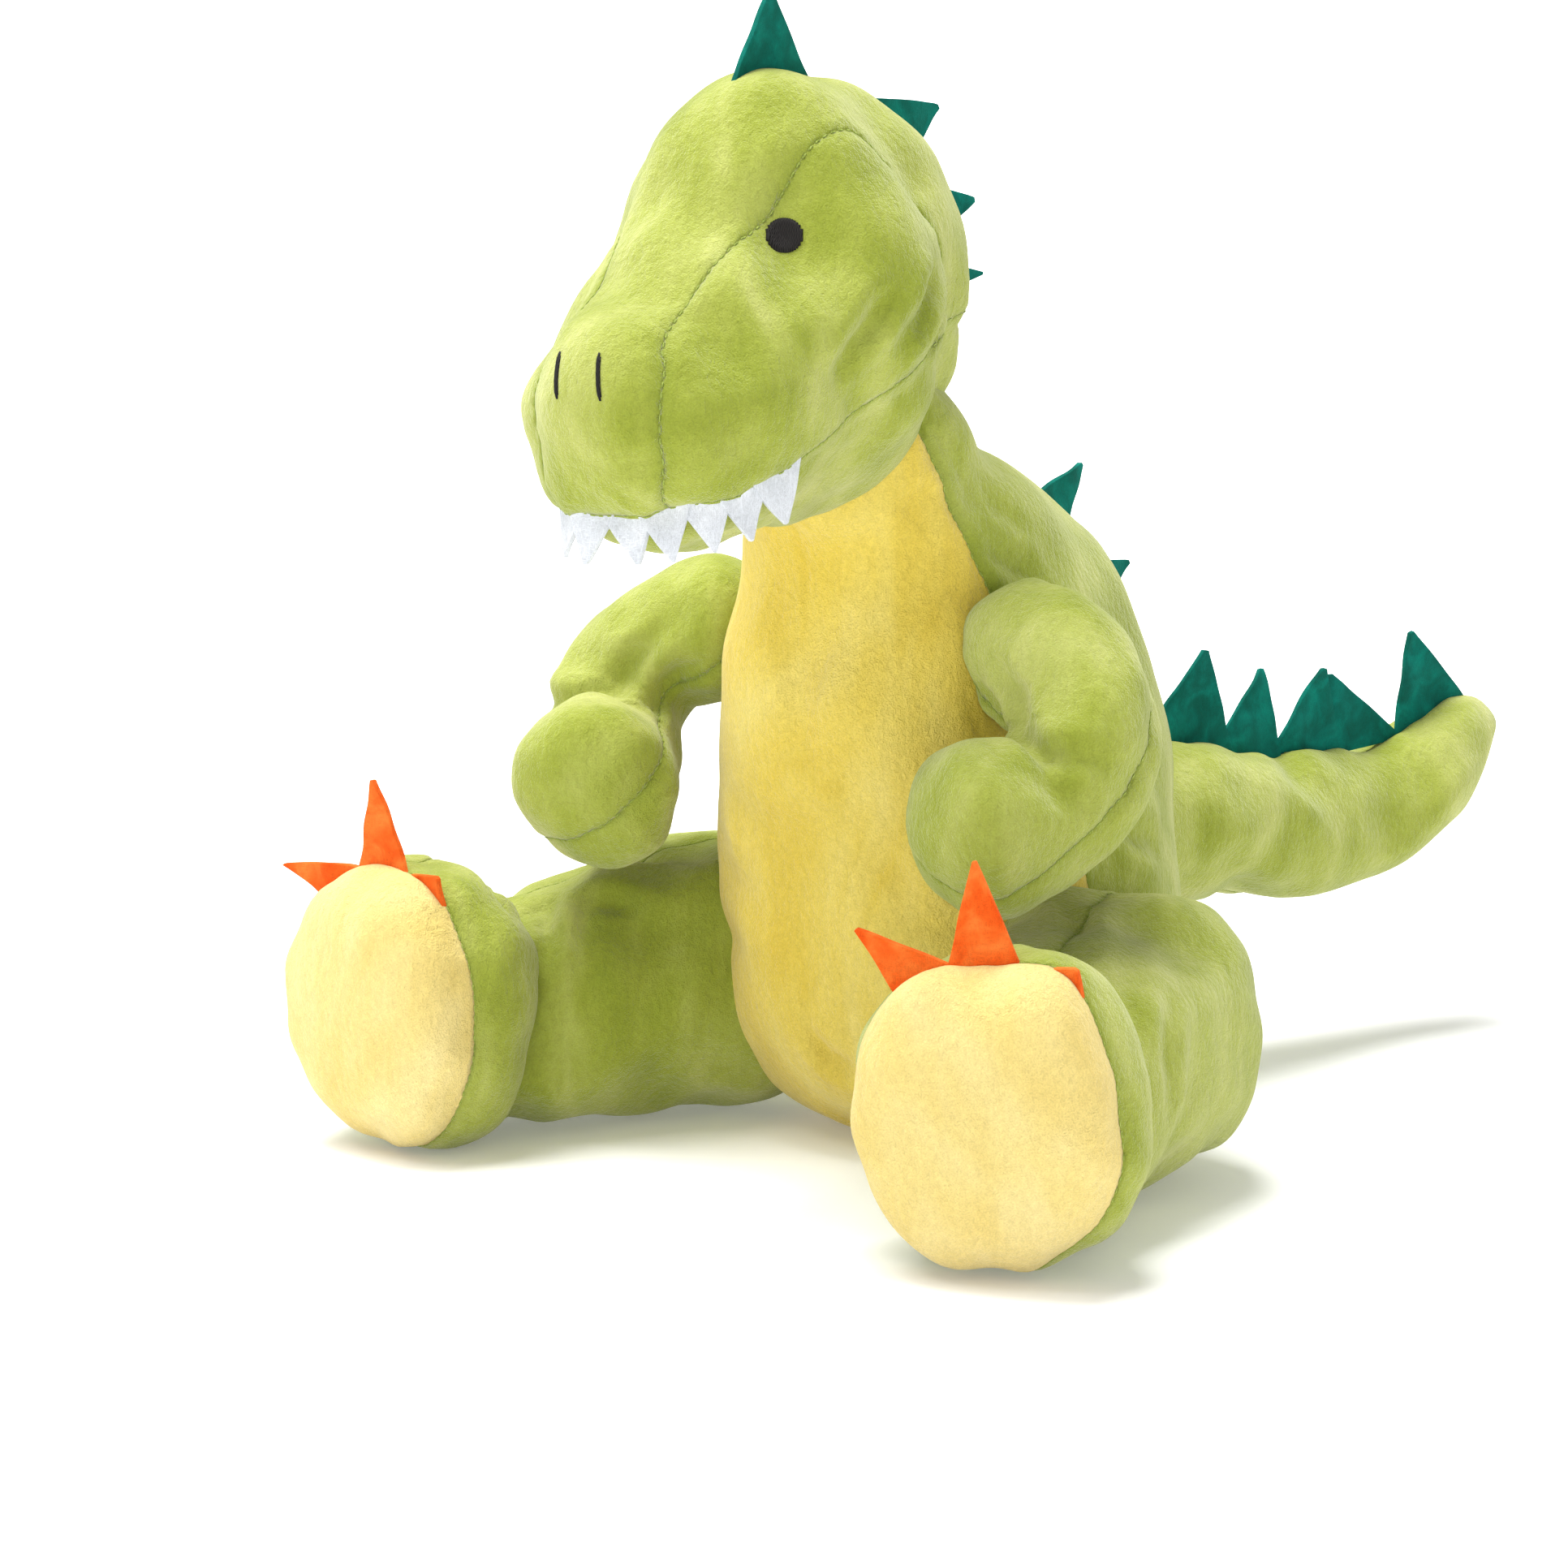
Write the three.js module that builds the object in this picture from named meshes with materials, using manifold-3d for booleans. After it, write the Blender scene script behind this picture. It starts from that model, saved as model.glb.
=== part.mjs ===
// A seated plush dinosaur: pile-fabric panels sewn over fibre stuffing, with felt spines, teeth and claws.
// Millimetres. +Z is up, the toy faces -Y, +X is its own left, and the origin is under the seat.
import * as THREE from "three";
import { mergeVertices } from "three/addons/utils/BufferGeometryUtils.js";
import Module from "manifold-3d";

const wasm = await Module();
wasm.setup();

// ---- Driving dimensions -------------------------------------------------------------------------
const SKIN = 2; // fabric with its pile
const FELT = 1.5; // sheet felt of the spines, teeth and claws
const THREAD_HIGH = 1.1; // height of the embroidered eyes and nostrils over the fabric
const GAP = 0.3; // clearance between touching pieces
const TURN_GAP = 1; // clearance round a joint's round seat
const LIP = 5; // how far the chin sits inside the lip
const FAR = 400; // reach of a cutting block, larger than the toy

// Joint centres, and the radius of the round seat that each moving part turns in.
const NECK = { centre: new THREE.Vector3(0, -54, 210), radius: 38 };
const NECK_LEAN = 24; // degrees the neck leans forward
const NECK_CORE = 16; // radius of the fibre core that passes through the neck
const SHOULDER = { centre: new THREE.Vector3(59, -46, 157), radius: 21 };
const HIP = { centre: new THREE.Vector3(75, -28, 45), radius: 43.5 };
const TAIL = { centre: new THREE.Vector3(0, 66, 80), radius: 35 };
const TAIL_BEND = 14; // degrees the tail is set towards the left
const ANKLE_AT = 84; // distance of the ankle from the hip
const SOLE_AT = 119; // distance of the sole seam from the hip

const X = new THREE.Vector3(1, 0, 0);
const Y = new THREE.Vector3(0, 1, 0);
const Z = new THREE.Vector3(0, 0, 1);
const LEFT = 1;
const RIGHT = -1;
// Degrees that each leg points outwards, and that its foot turns back inwards at the ankle. The claws
// are named from the toy's right to its left.
const LEGS = [
  { word: "left", side: LEFT, splay: 16.8, footTurn: 0, claws: ["inner", "middle", "outer"] },
  { word: "right", side: RIGHT, splay: 27, footTurn: 23, claws: ["outer", "middle", "inner"] },
];

// ---- Materials -----------------------------------------------------------------------------------
const finish = (color, roughness = 0.95) => () =>
  new THREE.MeshStandardMaterial({ color, roughness, metalness: 0 });
const GREEN = finish("#9db544");
const YELLOW = finish("#ecd657");
const CREAM = finish("#f3e39a");
const SPINE_FELT = finish("#01695a");
const CLAW_FELT = finish("#f2661a");
const TOOTH_FELT = finish("#f4f5f8");
const THREAD = finish("#201f1d", 0.7);
const FIBRE = finish("#f2f1ec", 1);

// ---- Solids --------------------------------------------------------------------------------------
// A closed geometry as a manifold-3d solid.
function solid(geometry) {
  const bare = new THREE.BufferGeometry().setAttribute("position", geometry.getAttribute("position"));
  if (geometry.index) bare.setIndex(geometry.index);
  const merged = mergeVertices(bare, 1e-4);
  return new wasm.Manifold(
    new wasm.Mesh({
      numProp: 3,
      vertProperties: merged.attributes.position.array,
      triVerts: new Uint32Array(merged.index.array),
    }),
  );
}

// The largest body of a solid: trimming can leave a crumb beside it.
function main(shape) {
  return shape.decompose().reduce((best, body) => (body.volume() > best.volume() ? body : best));
}

// A manifold-3d solid as a named mesh.
function piece(name, shape, material) {
  const made = main(shape).getMesh();
  const points = new Float32Array(made.numVert * 3);
  for (let i = 0; i < made.numVert; i++) {
    points.set(made.vertProperties.subarray(i * made.numProp, i * made.numProp + 3), i * 3);
  }
  const geometry = new THREE.BufferGeometry()
    .setAttribute("position", new THREE.BufferAttribute(points, 3))
    .setIndex(new THREE.BufferAttribute(made.triVerts, 1));
  const mesh = new THREE.Mesh(geometry, material());
  mesh.name = name;
  return mesh;
}

// The half of space beyond a plane, as a large box: from the point, along the direction.
function beyond(point, direction) {
  const box = new THREE.BoxGeometry(2 * FAR, 2 * FAR, FAR).translate(0, 0, FAR / 2);
  const turn = new THREE.Quaternion().setFromUnitVectors(Z, direction.clone().normalize());
  return solid(box.applyQuaternion(turn).translate(point.x, point.y, point.z));
}

function ball(centre, radius) {
  const facets = radius < 25 ? 16 : 22;
  const sphere = new THREE.SphereGeometry(radius, facets, Math.round(facets * 0.55)).rotateX(Math.PI / 2);
  return solid(sphere.translate(centre.x, centre.y, centre.z));
}

// A rod along a direction, from its lower end.
function rod(start, direction, radius, length) {
  const cylinder = new THREE.CylinderGeometry(radius, radius, length, 14).translate(0, length / 2, 0);
  const turn = new THREE.Quaternion().setFromUnitVectors(Y, direction.clone().normalize());
  return solid(cylinder.applyQuaternion(turn).translate(start.x, start.y, start.z));
}

// A flat plate with a polygon outline, in the plane of the directions u and v through the origin point.
function plate(outline, origin, u, v, thickness) {
  const shape = new THREE.Shape(outline.map(([a, b]) => new THREE.Vector2(a, b)));
  const flat = new THREE.ExtrudeGeometry(shape, { depth: thickness, bevelEnabled: false });
  flat.translate(0, 0, -thickness / 2);
  const normal = new THREE.Vector3().crossVectors(u, v);
  return solid(flat.applyMatrix4(new THREE.Matrix4().makeBasis(u, v, normal).setPosition(origin)));
}

// The block that a side-view outline of [y, z] points cuts through the whole width.
function sideways(outline) {
  return plate(outline, new THREE.Vector3(), Y, Z, FAR);
}

// An outline moved by a step.
function shifted(outline, da, db) {
  return outline.map(([a, b]) => [a + da, b + db]);
}

// An outline grown away from its middle by a margin.
function grown(outline, margin) {
  const a = outline.reduce((sum, p) => sum + p[0], 0) / outline.length;
  const b = outline.reduce((sum, p) => sum + p[1], 0) / outline.length;
  return outline.map(([pa, pb]) => {
    const reach = Math.hypot(pa - a, pb - b);
    return [a + ((pa - a) * (reach + margin)) / reach, b + ((pb - b) * (reach + margin)) / reach];
  });
}

// ---- Stuffed sections ------------------------------------------------------------------------------
// A stuffed part is a row of oval sections along a spine. Each station is [x, y, z, half-width across,
// half-depth on the outer side, half-depth on the inner side]. Both ends close in round caps. A fullness
// under 1 swells the inner half towards a box. Returns the rings of points, and the two end points.
function rings({ across, sides, steps, capStart, capEnd, stations, fullness = 1, capRings = 2 }) {
  const spine = new THREE.CatmullRomCurve3(stations.map(([x, y, z]) => new THREE.Vector3(x, y, z)));
  const girth = new THREE.CatmullRomCurve3(stations.map((s) => new THREE.Vector3(s[3], s[4], s[5])));
  const ring = (t, shift, share) => {
    const tangent = spine.getTangent(t);
    const centre = spine.getPoint(t).addScaledVector(tangent, shift);
    const outward = new THREE.Vector3().crossVectors(across, tangent).normalize();
    const lateral = new THREE.Vector3().crossVectors(tangent, outward);
    const half = girth.getPoint(t).multiplyScalar(share);
    return Array.from({ length: sides }, (_, i) => {
      const angle = (2 * Math.PI * i) / sides;
      const outer = Math.cos(angle) >= 0;
      const swell = (value) => Math.sign(value) * Math.abs(value) ** (outer ? 1 : fullness);
      return centre
        .clone()
        .addScaledVector(lateral, half.x * swell(Math.sin(angle)))
        .addScaledVector(outward, (outer ? half.y : half.z) * swell(Math.cos(angle)));
    });
  };
  const capShares = Array.from({ length: capRings }, (_, i) => 1 - (i + 1) / (capRings + 1));
  const capAngles = capShares.map((share) => (Math.PI / 2) * share);
  return {
    rows: [
      ...capAngles.map((angle) => ring(0, -capStart * Math.sin(angle), Math.cos(angle))),
      ...Array.from({ length: steps + 1 }, (_, i) => ring(i / steps, 0, 1)),
      ...capAngles.reverse().map((angle) => ring(1, capEnd * Math.sin(angle), Math.cos(angle))),
    ],
    start: spine.getPoint(0).addScaledVector(spine.getTangent(0), -capStart),
    end: spine.getPoint(1).addScaledVector(spine.getTangent(1), capEnd),
  };
}

// The closed surface of a stuffed part, moved inwards by a depth.
function surfaceOf(shape, depth = 0) {
  const { rows, start, end } = rings(shape);
  const sides = shape.sides;
  const points = [start, ...rows.flat(), end];
  const at = (row, side) => 1 + row * sides + (side % sides);
  const index = [];
  for (let i = 0; i < sides; i++) {
    index.push(0, at(0, i + 1), at(0, i));
    for (let row = 0; row < rows.length - 1; row++) {
      index.push(at(row, i), at(row, i + 1), at(row + 1, i));
      index.push(at(row, i + 1), at(row + 1, i + 1), at(row + 1, i));
    }
    index.push(at(rows.length - 1, i), at(rows.length - 1, i + 1), points.length - 1);
  }
  const geometry = new THREE.BufferGeometry().setFromPoints(points).setIndex(index);
  geometry.computeVertexNormals();
  const normals = geometry.attributes.normal;
  points.forEach((point, i) => {
    point.addScaledVector(new THREE.Vector3().fromBufferAttribute(normals, i), -depth);
  });
  return geometry.setFromPoints(points);
}

const stuffed = (shape, depth) => solid(surfaceOf(shape, depth));

// Returns a function that finds where a line from inside a stuffed part leaves its surface. The line
// runs a hair beside the middle plane, where the facets' edges lie.
function exitFinder(shape, depth = 0) {
  const skin = new THREE.MeshBasicMaterial({ side: THREE.DoubleSide });
  const body = new THREE.Mesh(surfaceOf(shape, depth), skin);
  const caster = new THREE.Raycaster();
  return (from, direction) => {
    const outward = direction.clone().normalize();
    const start = from.clone().addScaledVector(outward, FAR).addScaledVector(X, 0.01);
    caster.set(start, outward.negate());
    return caster.intersectObject(body)[0].point;
  };
}

const skinOf = (shape) => stuffed(shape).subtract(stuffed(shape, SKIN));
const fillingOf = (shape) => stuffed(shape, SKIN + GAP);
const seatOf = (joint) => ball(joint.centre, joint.radius + TURN_GAP);
const mirrorPoint = (point, side) => new THREE.Vector3(side * point.x, point.y, point.z);

// Splits a skin along a plane into two panels with a hair's gap between them.
function halves(skin, point, direction) {
  const step = direction.clone().normalize().multiplyScalar(GAP / 2);
  return [
    skin.intersect(beyond(point.clone().add(step), direction)),
    skin.intersect(beyond(point.clone().sub(step), direction.clone().negate())),
  ];
}

// Felt pieces sewn into a seam: each is cut off at the stuffing, and the panels make room for it.
function sewnIn(outlines, shape, origin, u, v) {
  const inside = stuffed(shape, SKIN);
  return {
    felts: outlines.map((outline) => plate(outline, origin, u, v, FELT).subtract(inside)),
    room: outlines
      .map((outline) => plate(grown(outline, 1), origin, u, v, FELT + 2 * GAP))
      .reduce((all, one) => all.add(one)),
  };
}

// ---- Stuffed shapes --------------------------------------------------------------------------------
const torsoShape = {
  across: X,
  sides: 14,
  steps: 7,
  capStart: 54,
  capEnd: 38,
  stations: [
    [0, -15, 50, 69, 57, 98],
    [0, -18, 72, 70, 57, 101],
    [0, -25, 106, 66, 53, 108],
    [0, -38, 150, 56, 45, 99],
    [0, -47, 186, 45, 35, 66],
    [0, -54, 210, 38, 38, 38],
  ],
};

const headShape = {
  across: X.clone().negate(),
  sides: 14,
  steps: 7,
  capStart: 31,
  capEnd: 20,
  fullness: 0.75,
  stations: [
    [0, -60, 272, 37, 51, 46],
    [0, -88, 262, 52, 64, 54],
    [0, -118, 249, 44, 44, 51],
    [0, -143, 237, 39, 34, 43],
    [0, -159, 231, 35, 31, 37],
  ],
};

// Distance from the tail joint, height, radius.
const TAIL_STATIONS = [
  [0, 80, 35],
  [18, 81, 30.5],
  [36, 83, 30.5],
  [62, 80, 27],
  [90, 77.5, 24.5],
  [130, 79, 22.5],
  [155, 87, 21],
  [174, 98, 17],
  [186, 105, 12],
];
const tailAlong = new THREE.Vector3(0, 1, 0).applyAxisAngle(Z, -THREE.MathUtils.degToRad(TAIL_BEND));
const tailAcross = new THREE.Vector3().crossVectors(tailAlong, Z).normalize();
const tailShape = {
  across: tailAcross,
  sides: 12,
  steps: 6,
  capStart: 35,
  capEnd: 9,
  stations: TAIL_STATIONS.map(([along, z, radius]) => {
    const at = TAIL.centre.clone().addScaledVector(tailAlong, along);
    return [at.x, at.y, z, radius, radius, radius];
  }),
};

function armShape(side) {
  return {
    across: new THREE.Vector3(-0.23 * side, 0.71, -0.67).normalize(),
    sides: 10,
    steps: 5,
    capStart: SHOULDER.radius,
    capEnd: 17,
    stations: [
      [59, -46, 157, 21, 21, 21],
      [80, -52, 148, 20, 19.5, 20],
      [88, -60, 132, 20, 19, 20],
      [82, -74, 116, 21, 20, 21],
      [72, -92, 110.5, 26, 23.5, 24],
    ].map(([x, ...rest]) => [side * x, ...rest]),
  };
}

// Distance from the hip, height, half-width, half-height up and down.
const LEG_STATIONS = [
  [0, 45, 43.5, 43.5, 43.5],
  [35, 43, 35.5, 40, 42],
  [62, 40, 33, 34, 39],
  [82, 40, 31, 31, 39],
  [104, 43, 35, 41, 42],
  [119, 44, 36, 44, 41],
  [130, 44, 35, 43, 39],
];

// The directions and places that a leg is built on: along the thigh, and along the foot.
function legLines({ side, splay, footTurn }) {
  const front = Y.clone().negate();
  const pointing = (degrees) => front.clone().applyAxisAngle(Z, side * THREE.MathUtils.degToRad(degrees));
  const ahead = pointing(splay);
  const footAhead = pointing(splay - footTurn);
  const hip = mirrorPoint(HIP.centre, side);
  const ankle = hip.clone().addScaledVector(ahead, ANKLE_AT);
  const at = (along) =>
    along < ANKLE_AT
      ? hip.clone().addScaledVector(ahead, along)
      : ankle.clone().addScaledVector(footAhead, along - ANKLE_AT);
  return { ahead, footAhead, hip, at };
}

function legShape(leg) {
  const { ahead, at } = legLines(leg);
  return {
    across: new THREE.Vector3().crossVectors(ahead, Z),
    sides: 12,
    steps: 6,
    capStart: HIP.radius,
    capEnd: 9,
    stations: LEG_STATIONS.map(([along, z, ...half]) => [at(along).x, at(along).y, z, ...half]),
  };
}

// ---- Seam lines ------------------------------------------------------------------------------------
// Side views are [y, z]. The belly panel lies in front of its seam and turns under the seat.
const BELLY_SEAM = [
  [-72, 260],
  [-66, 226],
  [-58, 196],
  [-48, 168],
  [-36, 130],
  [-26, 92],
  [-17, 60],
  [0, 22],
  [13, 6],
  [36, -8],
];
const belly = sideways([...BELLY_SEAM, [-FAR / 2, -8], [-FAR / 2, 260]]);
const flanks = sideways([...shifted(BELLY_SEAM, GAP, GAP), [FAR / 2, -8], [FAR / 2, 260]]);

// The lip: above it are the cheeks and the snout, below it the chin.
const LIP_SEAM = [
  [-20, 252],
  [-60, 243],
  [-92, 232],
  [-122, 219],
  [-150, 210],
  [-172, 203],
  [-200, 199],
];
const aboveLip = sideways([...LIP_SEAM, [-200, 360], [-20, 360]]);
const belowLip = sideways([...shifted(LIP_SEAM, 0, -GAP), [-200, 150], [-20, 150]]);

// Seen from above, half the width of the panel that runs from the nose over the crown: [half-width, y].
const CROWN_SEAM = [
  [30, -210],
  [27, -176],
  [22, -160],
  [18, -138],
  [25, -119],
  [27.5, -88],
  [36, -72],
  [38, -20],
];
const fromAbove = (outline) => plate(outline, new THREE.Vector3(0, 0, 270), X, Y, FAR);
const crown = fromAbove([
  ...CROWN_SEAM,
  ...CROWN_SEAM.map(([x, y]) => [-x, y]).reverse(),
]);
function cheek(side) {
  const seam = [...shifted(CROWN_SEAM, GAP, 0), [FAR / 2, -20], [FAR / 2, -210]];
  return fromAbove(seam.map(([x, y]) => [side * x, y]));
}

// ---- Felt outlines -----------------------------------------------------------------------------------
// Spines stand on a ridge. Each is placed by the angle of a line from a hub inside the part, in degrees
// from the horizontal, then its width along the ridge, its height, and how far its tip lies back.
const HEAD_HUB = {
  at: [-90, 270],
  lines: [
    [96, 28, 22, -2],
    [40, 28, 26, 9],
    [13, 24, 29, 8],
    [-6, 15, 31, 3],
  ],
};
const BACK_HUB = {
  at: [-30, 110],
  lines: [
    [46, 28, 25, 9],
    [30, 28, 25, 9],
    [13, 28, 26, 2],
  ],
};
// On the tail: distance from its joint, width, height, how far the tip lies back.
const TAIL_SPINES = [
  [47, 33, 30, 5],
  [75, 24, 28, 10],
  [104, 30, 27, 6],
  [134, 28, 27, -10],
  [166, 28, 29, -6],
];
// The claws of a foot, in degrees from the top of the sole towards the toy's right: where each stands,
// and where it points. Then its width and height. The last one is folded back, so less of it stands up.
const CLAWS = [
  { at: 33, points: 55, wide: 18, high: 24 },
  { at: 1, points: 5, wide: 18, high: 28 },
  { at: -33, points: -45, wide: 18, high: 13 },
];
const CLAW_FOOT = 6; // how far a claw reaches down into its seam
const SOLE_SIZE = [36, 44]; // half-width and half-height of the sole seam

// Teeth hang along the lip, from the left cheek round the snout to the right one.
const TEETH = 10;
const TOOTH_HIGH = 14;
const TOOTH_LEAN = 0.3; // how far the tip lies towards the cheek, as a share of the width
const LIP_HUB = new THREE.Vector3(0, -128, 0);
const LIP_SWEEP = 82; // degrees that the teeth reach round from the nose, to each side

const EYE = { x: 32, y: -130, z: 279, radius: 5.75 };
const NOSTRIL = { x: 7.3, low: 234, high: 247, wide: 1.4 };

// ---- The toy -----------------------------------------------------------------------------------------
const toy = new THREE.Group();
const add = (name, shape, material) => toy.add(piece(name, shape, material));
const middle = new THREE.Vector3();

// The outline of a felt spine in a plane with the directions u and v: two feet inside the part, and a tip.
function spine(exit, hub, u, v, lineAngle, [wide, high, back]) {
  const towards = (degrees) => {
    const angle = THREE.MathUtils.degToRad(degrees);
    return u.clone().multiplyScalar(Math.cos(angle)).addScaledVector(v, Math.sin(angle));
  };
  const base = exit(hub, towards(lineAngle));
  const along = exit(hub, towards(lineAngle - 4)).sub(exit(hub, towards(lineAngle + 4))).normalize();
  const out = new THREE.Vector3().crossVectors(along, new THREE.Vector3().crossVectors(v, u)).normalize();
  const foot = base.clone().addScaledVector(out, -6);
  return [
    foot.clone().addScaledVector(along, -wide / 2),
    foot.clone().addScaledVector(along, wide / 2),
    base.clone().addScaledVector(out, high).addScaledVector(along, back),
  ].map((point) => point.sub(hub)).map((point) => [point.dot(u), point.dot(v)]);
}

// Spines placed by angle round a hub in the middle plane.
function ridgeSpines(shape, { at, lines }) {
  const hub = new THREE.Vector3(0, at[0], at[1]);
  const exit = exitFinder(shape);
  const outlines = lines.map(([angle, ...size]) => spine(exit, hub, Y, Z, angle, size));
  return sewnIn(outlines, shape, hub, Y, Z);
}

function addTorso() {
  const neckUp = Z.clone().applyAxisAngle(X, THREE.MathUtils.degToRad(NECK_LEAN));
  const coreFoot = NECK.centre.clone().addScaledVector(neckUp, -26);
  const core = (radius) => rod(coreFoot, neckUp, radius, 80);
  const seats = [
    ...[LEFT, RIGHT].flatMap((side) =>
      [SHOULDER, HIP].map((joint) => seatOf({ ...joint, centre: mirrorPoint(joint.centre, side) })),
    ),
    seatOf(TAIL),
    core(NECK_CORE + TURN_GAP),
  ].reduce((all, seat) => all.add(seat));
  const spines = ridgeSpines(torsoShape, BACK_HUB);
  const outside = stuffed(torsoShape).intersect(beyond(middle, Z));
  const inside = stuffed(torsoShape, SKIN).intersect(beyond(new THREE.Vector3(0, 0, SKIN), Z));
  const skin = outside.subtract(inside).subtract(seats);
  const [left, right] = halves(skin.intersect(flanks).subtract(spines.room), middle, X);
  add("belly_panel", skin.intersect(belly), YELLOW);
  add("body_left_panel", left, GREEN);
  add("body_right_panel", right, GREEN);
  const room = fillingOf(torsoShape).intersect(beyond(new THREE.Vector3(0, 0, SKIN + GAP), Z));
  add("torso_stuffing", room.subtract(seats), FIBRE);
  spines.felts.forEach((felt, i) => add(`back_spine_${i + 1}`, felt, SPINE_FELT));
  const neck = core(NECK_CORE).intersect(ball(NECK.centre, NECK.radius));
  add("neck_stuffing", neck, FIBRE);
}

// The line of the lip, halfway through the fabric.
function lipLine() {
  const exit = exitFinder(headShape, SKIN / 2);
  const height = (y) => {
    const k = LIP_SEAM.findIndex(([next]) => next <= y);
    const [[y0, z0], [y1, z1]] = [LIP_SEAM[k - 1], LIP_SEAM[k]];
    return z0 + ((z1 - z0) * (y - y0)) / (y1 - y0);
  };
  const points = Array.from({ length: 25 }, (_, i) => {
    const angle = THREE.MathUtils.degToRad(LIP_SWEEP * (1 - i / 12));
    const direction = new THREE.Vector3(Math.sin(angle), -Math.cos(angle), 0);
    let point = exit(LIP_HUB.clone().setZ(height(-160)), direction);
    for (let n = 0; n < 4; n++) point = exit(LIP_HUB.clone().setZ(height(point.y)), direction);
    return point;
  });
  return new THREE.CatmullRomCurve3(points);
}

function addTeeth(chin) {
  const lip = lipLine();
  const wide = lip.getLength() / TEETH - 2 * GAP;
  for (let i = 0; i < TEETH; i++) {
    const along = (i + 0.5) / TEETH;
    const tangent = lip.getTangentAt(along).setZ(0).normalize();
    const lean = (along < 0.5 ? -1 : 1) * TOOTH_LEAN * wide;
    const outline = [
      [-wide / 2, 9],
      [-wide / 2, -2],
      [lean, -TOOTH_HIGH],
      [wide / 2, -2],
      [wide / 2, 9],
    ];
    const tooth = plate(outline, lip.getPointAt(along), tangent, Z, FELT);
    add(`tooth_${i + 1}`, tooth.intersect(belowLip).subtract(chin), TOOTH_FELT);
  }
}

function addHead() {
  const seat = seatOf(NECK);
  const chinShape = {
    ...headShape,
    capEnd: headShape.capEnd - LIP,
    stations: headShape.stations.map(([x, y, z, wide, up, down], i) => {
      const inset = (LIP * i) / (headShape.stations.length - 1);
      return [x, y, z, wide - inset, up - inset, down - inset];
    }),
  };
  const spines = ridgeSpines(headShape, HEAD_HUB);
  const skin = skinOf(headShape).subtract(seat).intersect(aboveLip);
  add("head_top_panel", skin.intersect(crown).subtract(spines.room), GREEN);
  add("head_left_panel", skin.intersect(cheek(LEFT)), GREEN);
  add("head_right_panel", skin.intersect(cheek(RIGHT)), GREEN);
  add("head_chin_panel", skinOf(chinShape).intersect(belowLip).subtract(seat), GREEN);
  const whole = fillingOf(headShape).intersect(stuffed(headShape, SKIN));
  const filling = whole.intersect(aboveLip).add(fillingOf(chinShape).intersect(whole));
  add("head_stuffing", filling.subtract(seat), FIBRE);
  spines.felts.forEach((felt, i) => add(`head_spine_${i + 1}`, felt, SPINE_FELT));

  addTeeth(stuffed(chinShape, -GAP));

  const thread = stuffed(headShape, -THREAD_HIGH).subtract(stuffed(headShape, -GAP));
  const nose = (NOSTRIL.low + NOSTRIL.high) / 2;
  for (const side of [LEFT, RIGHT]) {
    const word = side === LEFT ? "left" : "right";
    const eye = new THREE.Vector3(side * EYE.x, EYE.y, EYE.z);
    const outward = eye.clone().sub(new THREE.Vector3(0, -90, 272));
    const socket = rod(eye.clone().addScaledVector(outward, -0.3), outward, EYE.radius, 40);
    add(`eye_${word}`, thread.intersect(socket), THREAD);
    const line = new THREE.BoxGeometry(NOSTRIL.wide, 60, NOSTRIL.high - NOSTRIL.low);
    line.translate(side * NOSTRIL.x, -190, nose);
    add(`nostril_${word}`, thread.intersect(solid(line)), THREAD);
  }
}

function addTail() {
  const exit = exitFinder(tailShape);
  const outlines = TAIL_SPINES.map(([along, ...size]) => {
    const hub = TAIL.centre.clone().addScaledVector(tailAlong, along);
    const [foot, otherFoot, tip] = spine(exit, hub, tailAlong, Z, 90, size);
    return [foot, otherFoot, tip].map(([u, v]) => [u + along, v]);
  });
  const spines = sewnIn(outlines, tailShape, TAIL.centre, tailAlong, Z);
  const [left, right] = halves(skinOf(tailShape).subtract(spines.room), TAIL.centre, tailAcross);
  add("tail_left_panel", left, GREEN);
  add("tail_right_panel", right, GREEN);
  add("tail_stuffing", fillingOf(tailShape), FIBRE);
  spines.felts.forEach((felt, i) => add(`tail_spine_${i + 1}`, felt, SPINE_FELT));
}

function addArm(side, word) {
  const shape = armShape(side);
  const bend = new THREE.Vector3(side * 80, -64, 134);
  const outward = shape.across.clone().multiplyScalar(-1);
  const [outer, inner] = halves(skinOf(shape), bend, outward);
  add(`arm_${word}_outer_panel`, outer, GREEN);
  add(`arm_${word}_inner_panel`, inner, GREEN);
  add(`arm_${word}_stuffing`, fillingOf(shape), FIBRE);
}

function clawOutline({ at, points, wide, high }) {
  const stand = THREE.MathUtils.degToRad(at);
  const point = THREE.MathUtils.degToRad(points);
  const out = new THREE.Vector2(Math.sin(point), Math.cos(point));
  const beside = new THREE.Vector2(out.y, -out.x);
  const base = new THREE.Vector2(SOLE_SIZE[0] * Math.sin(stand), SOLE_SIZE[1] * Math.cos(stand));
  const place = (across, up) => base.clone().addScaledVector(beside, across).addScaledVector(out, up);
  const corners = [place(-wide / 2, -CLAW_FOOT), place(wide / 2, -CLAW_FOOT), place(0, high)];
  return corners.map(({ x, y }) => [x, y]);
}

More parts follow.
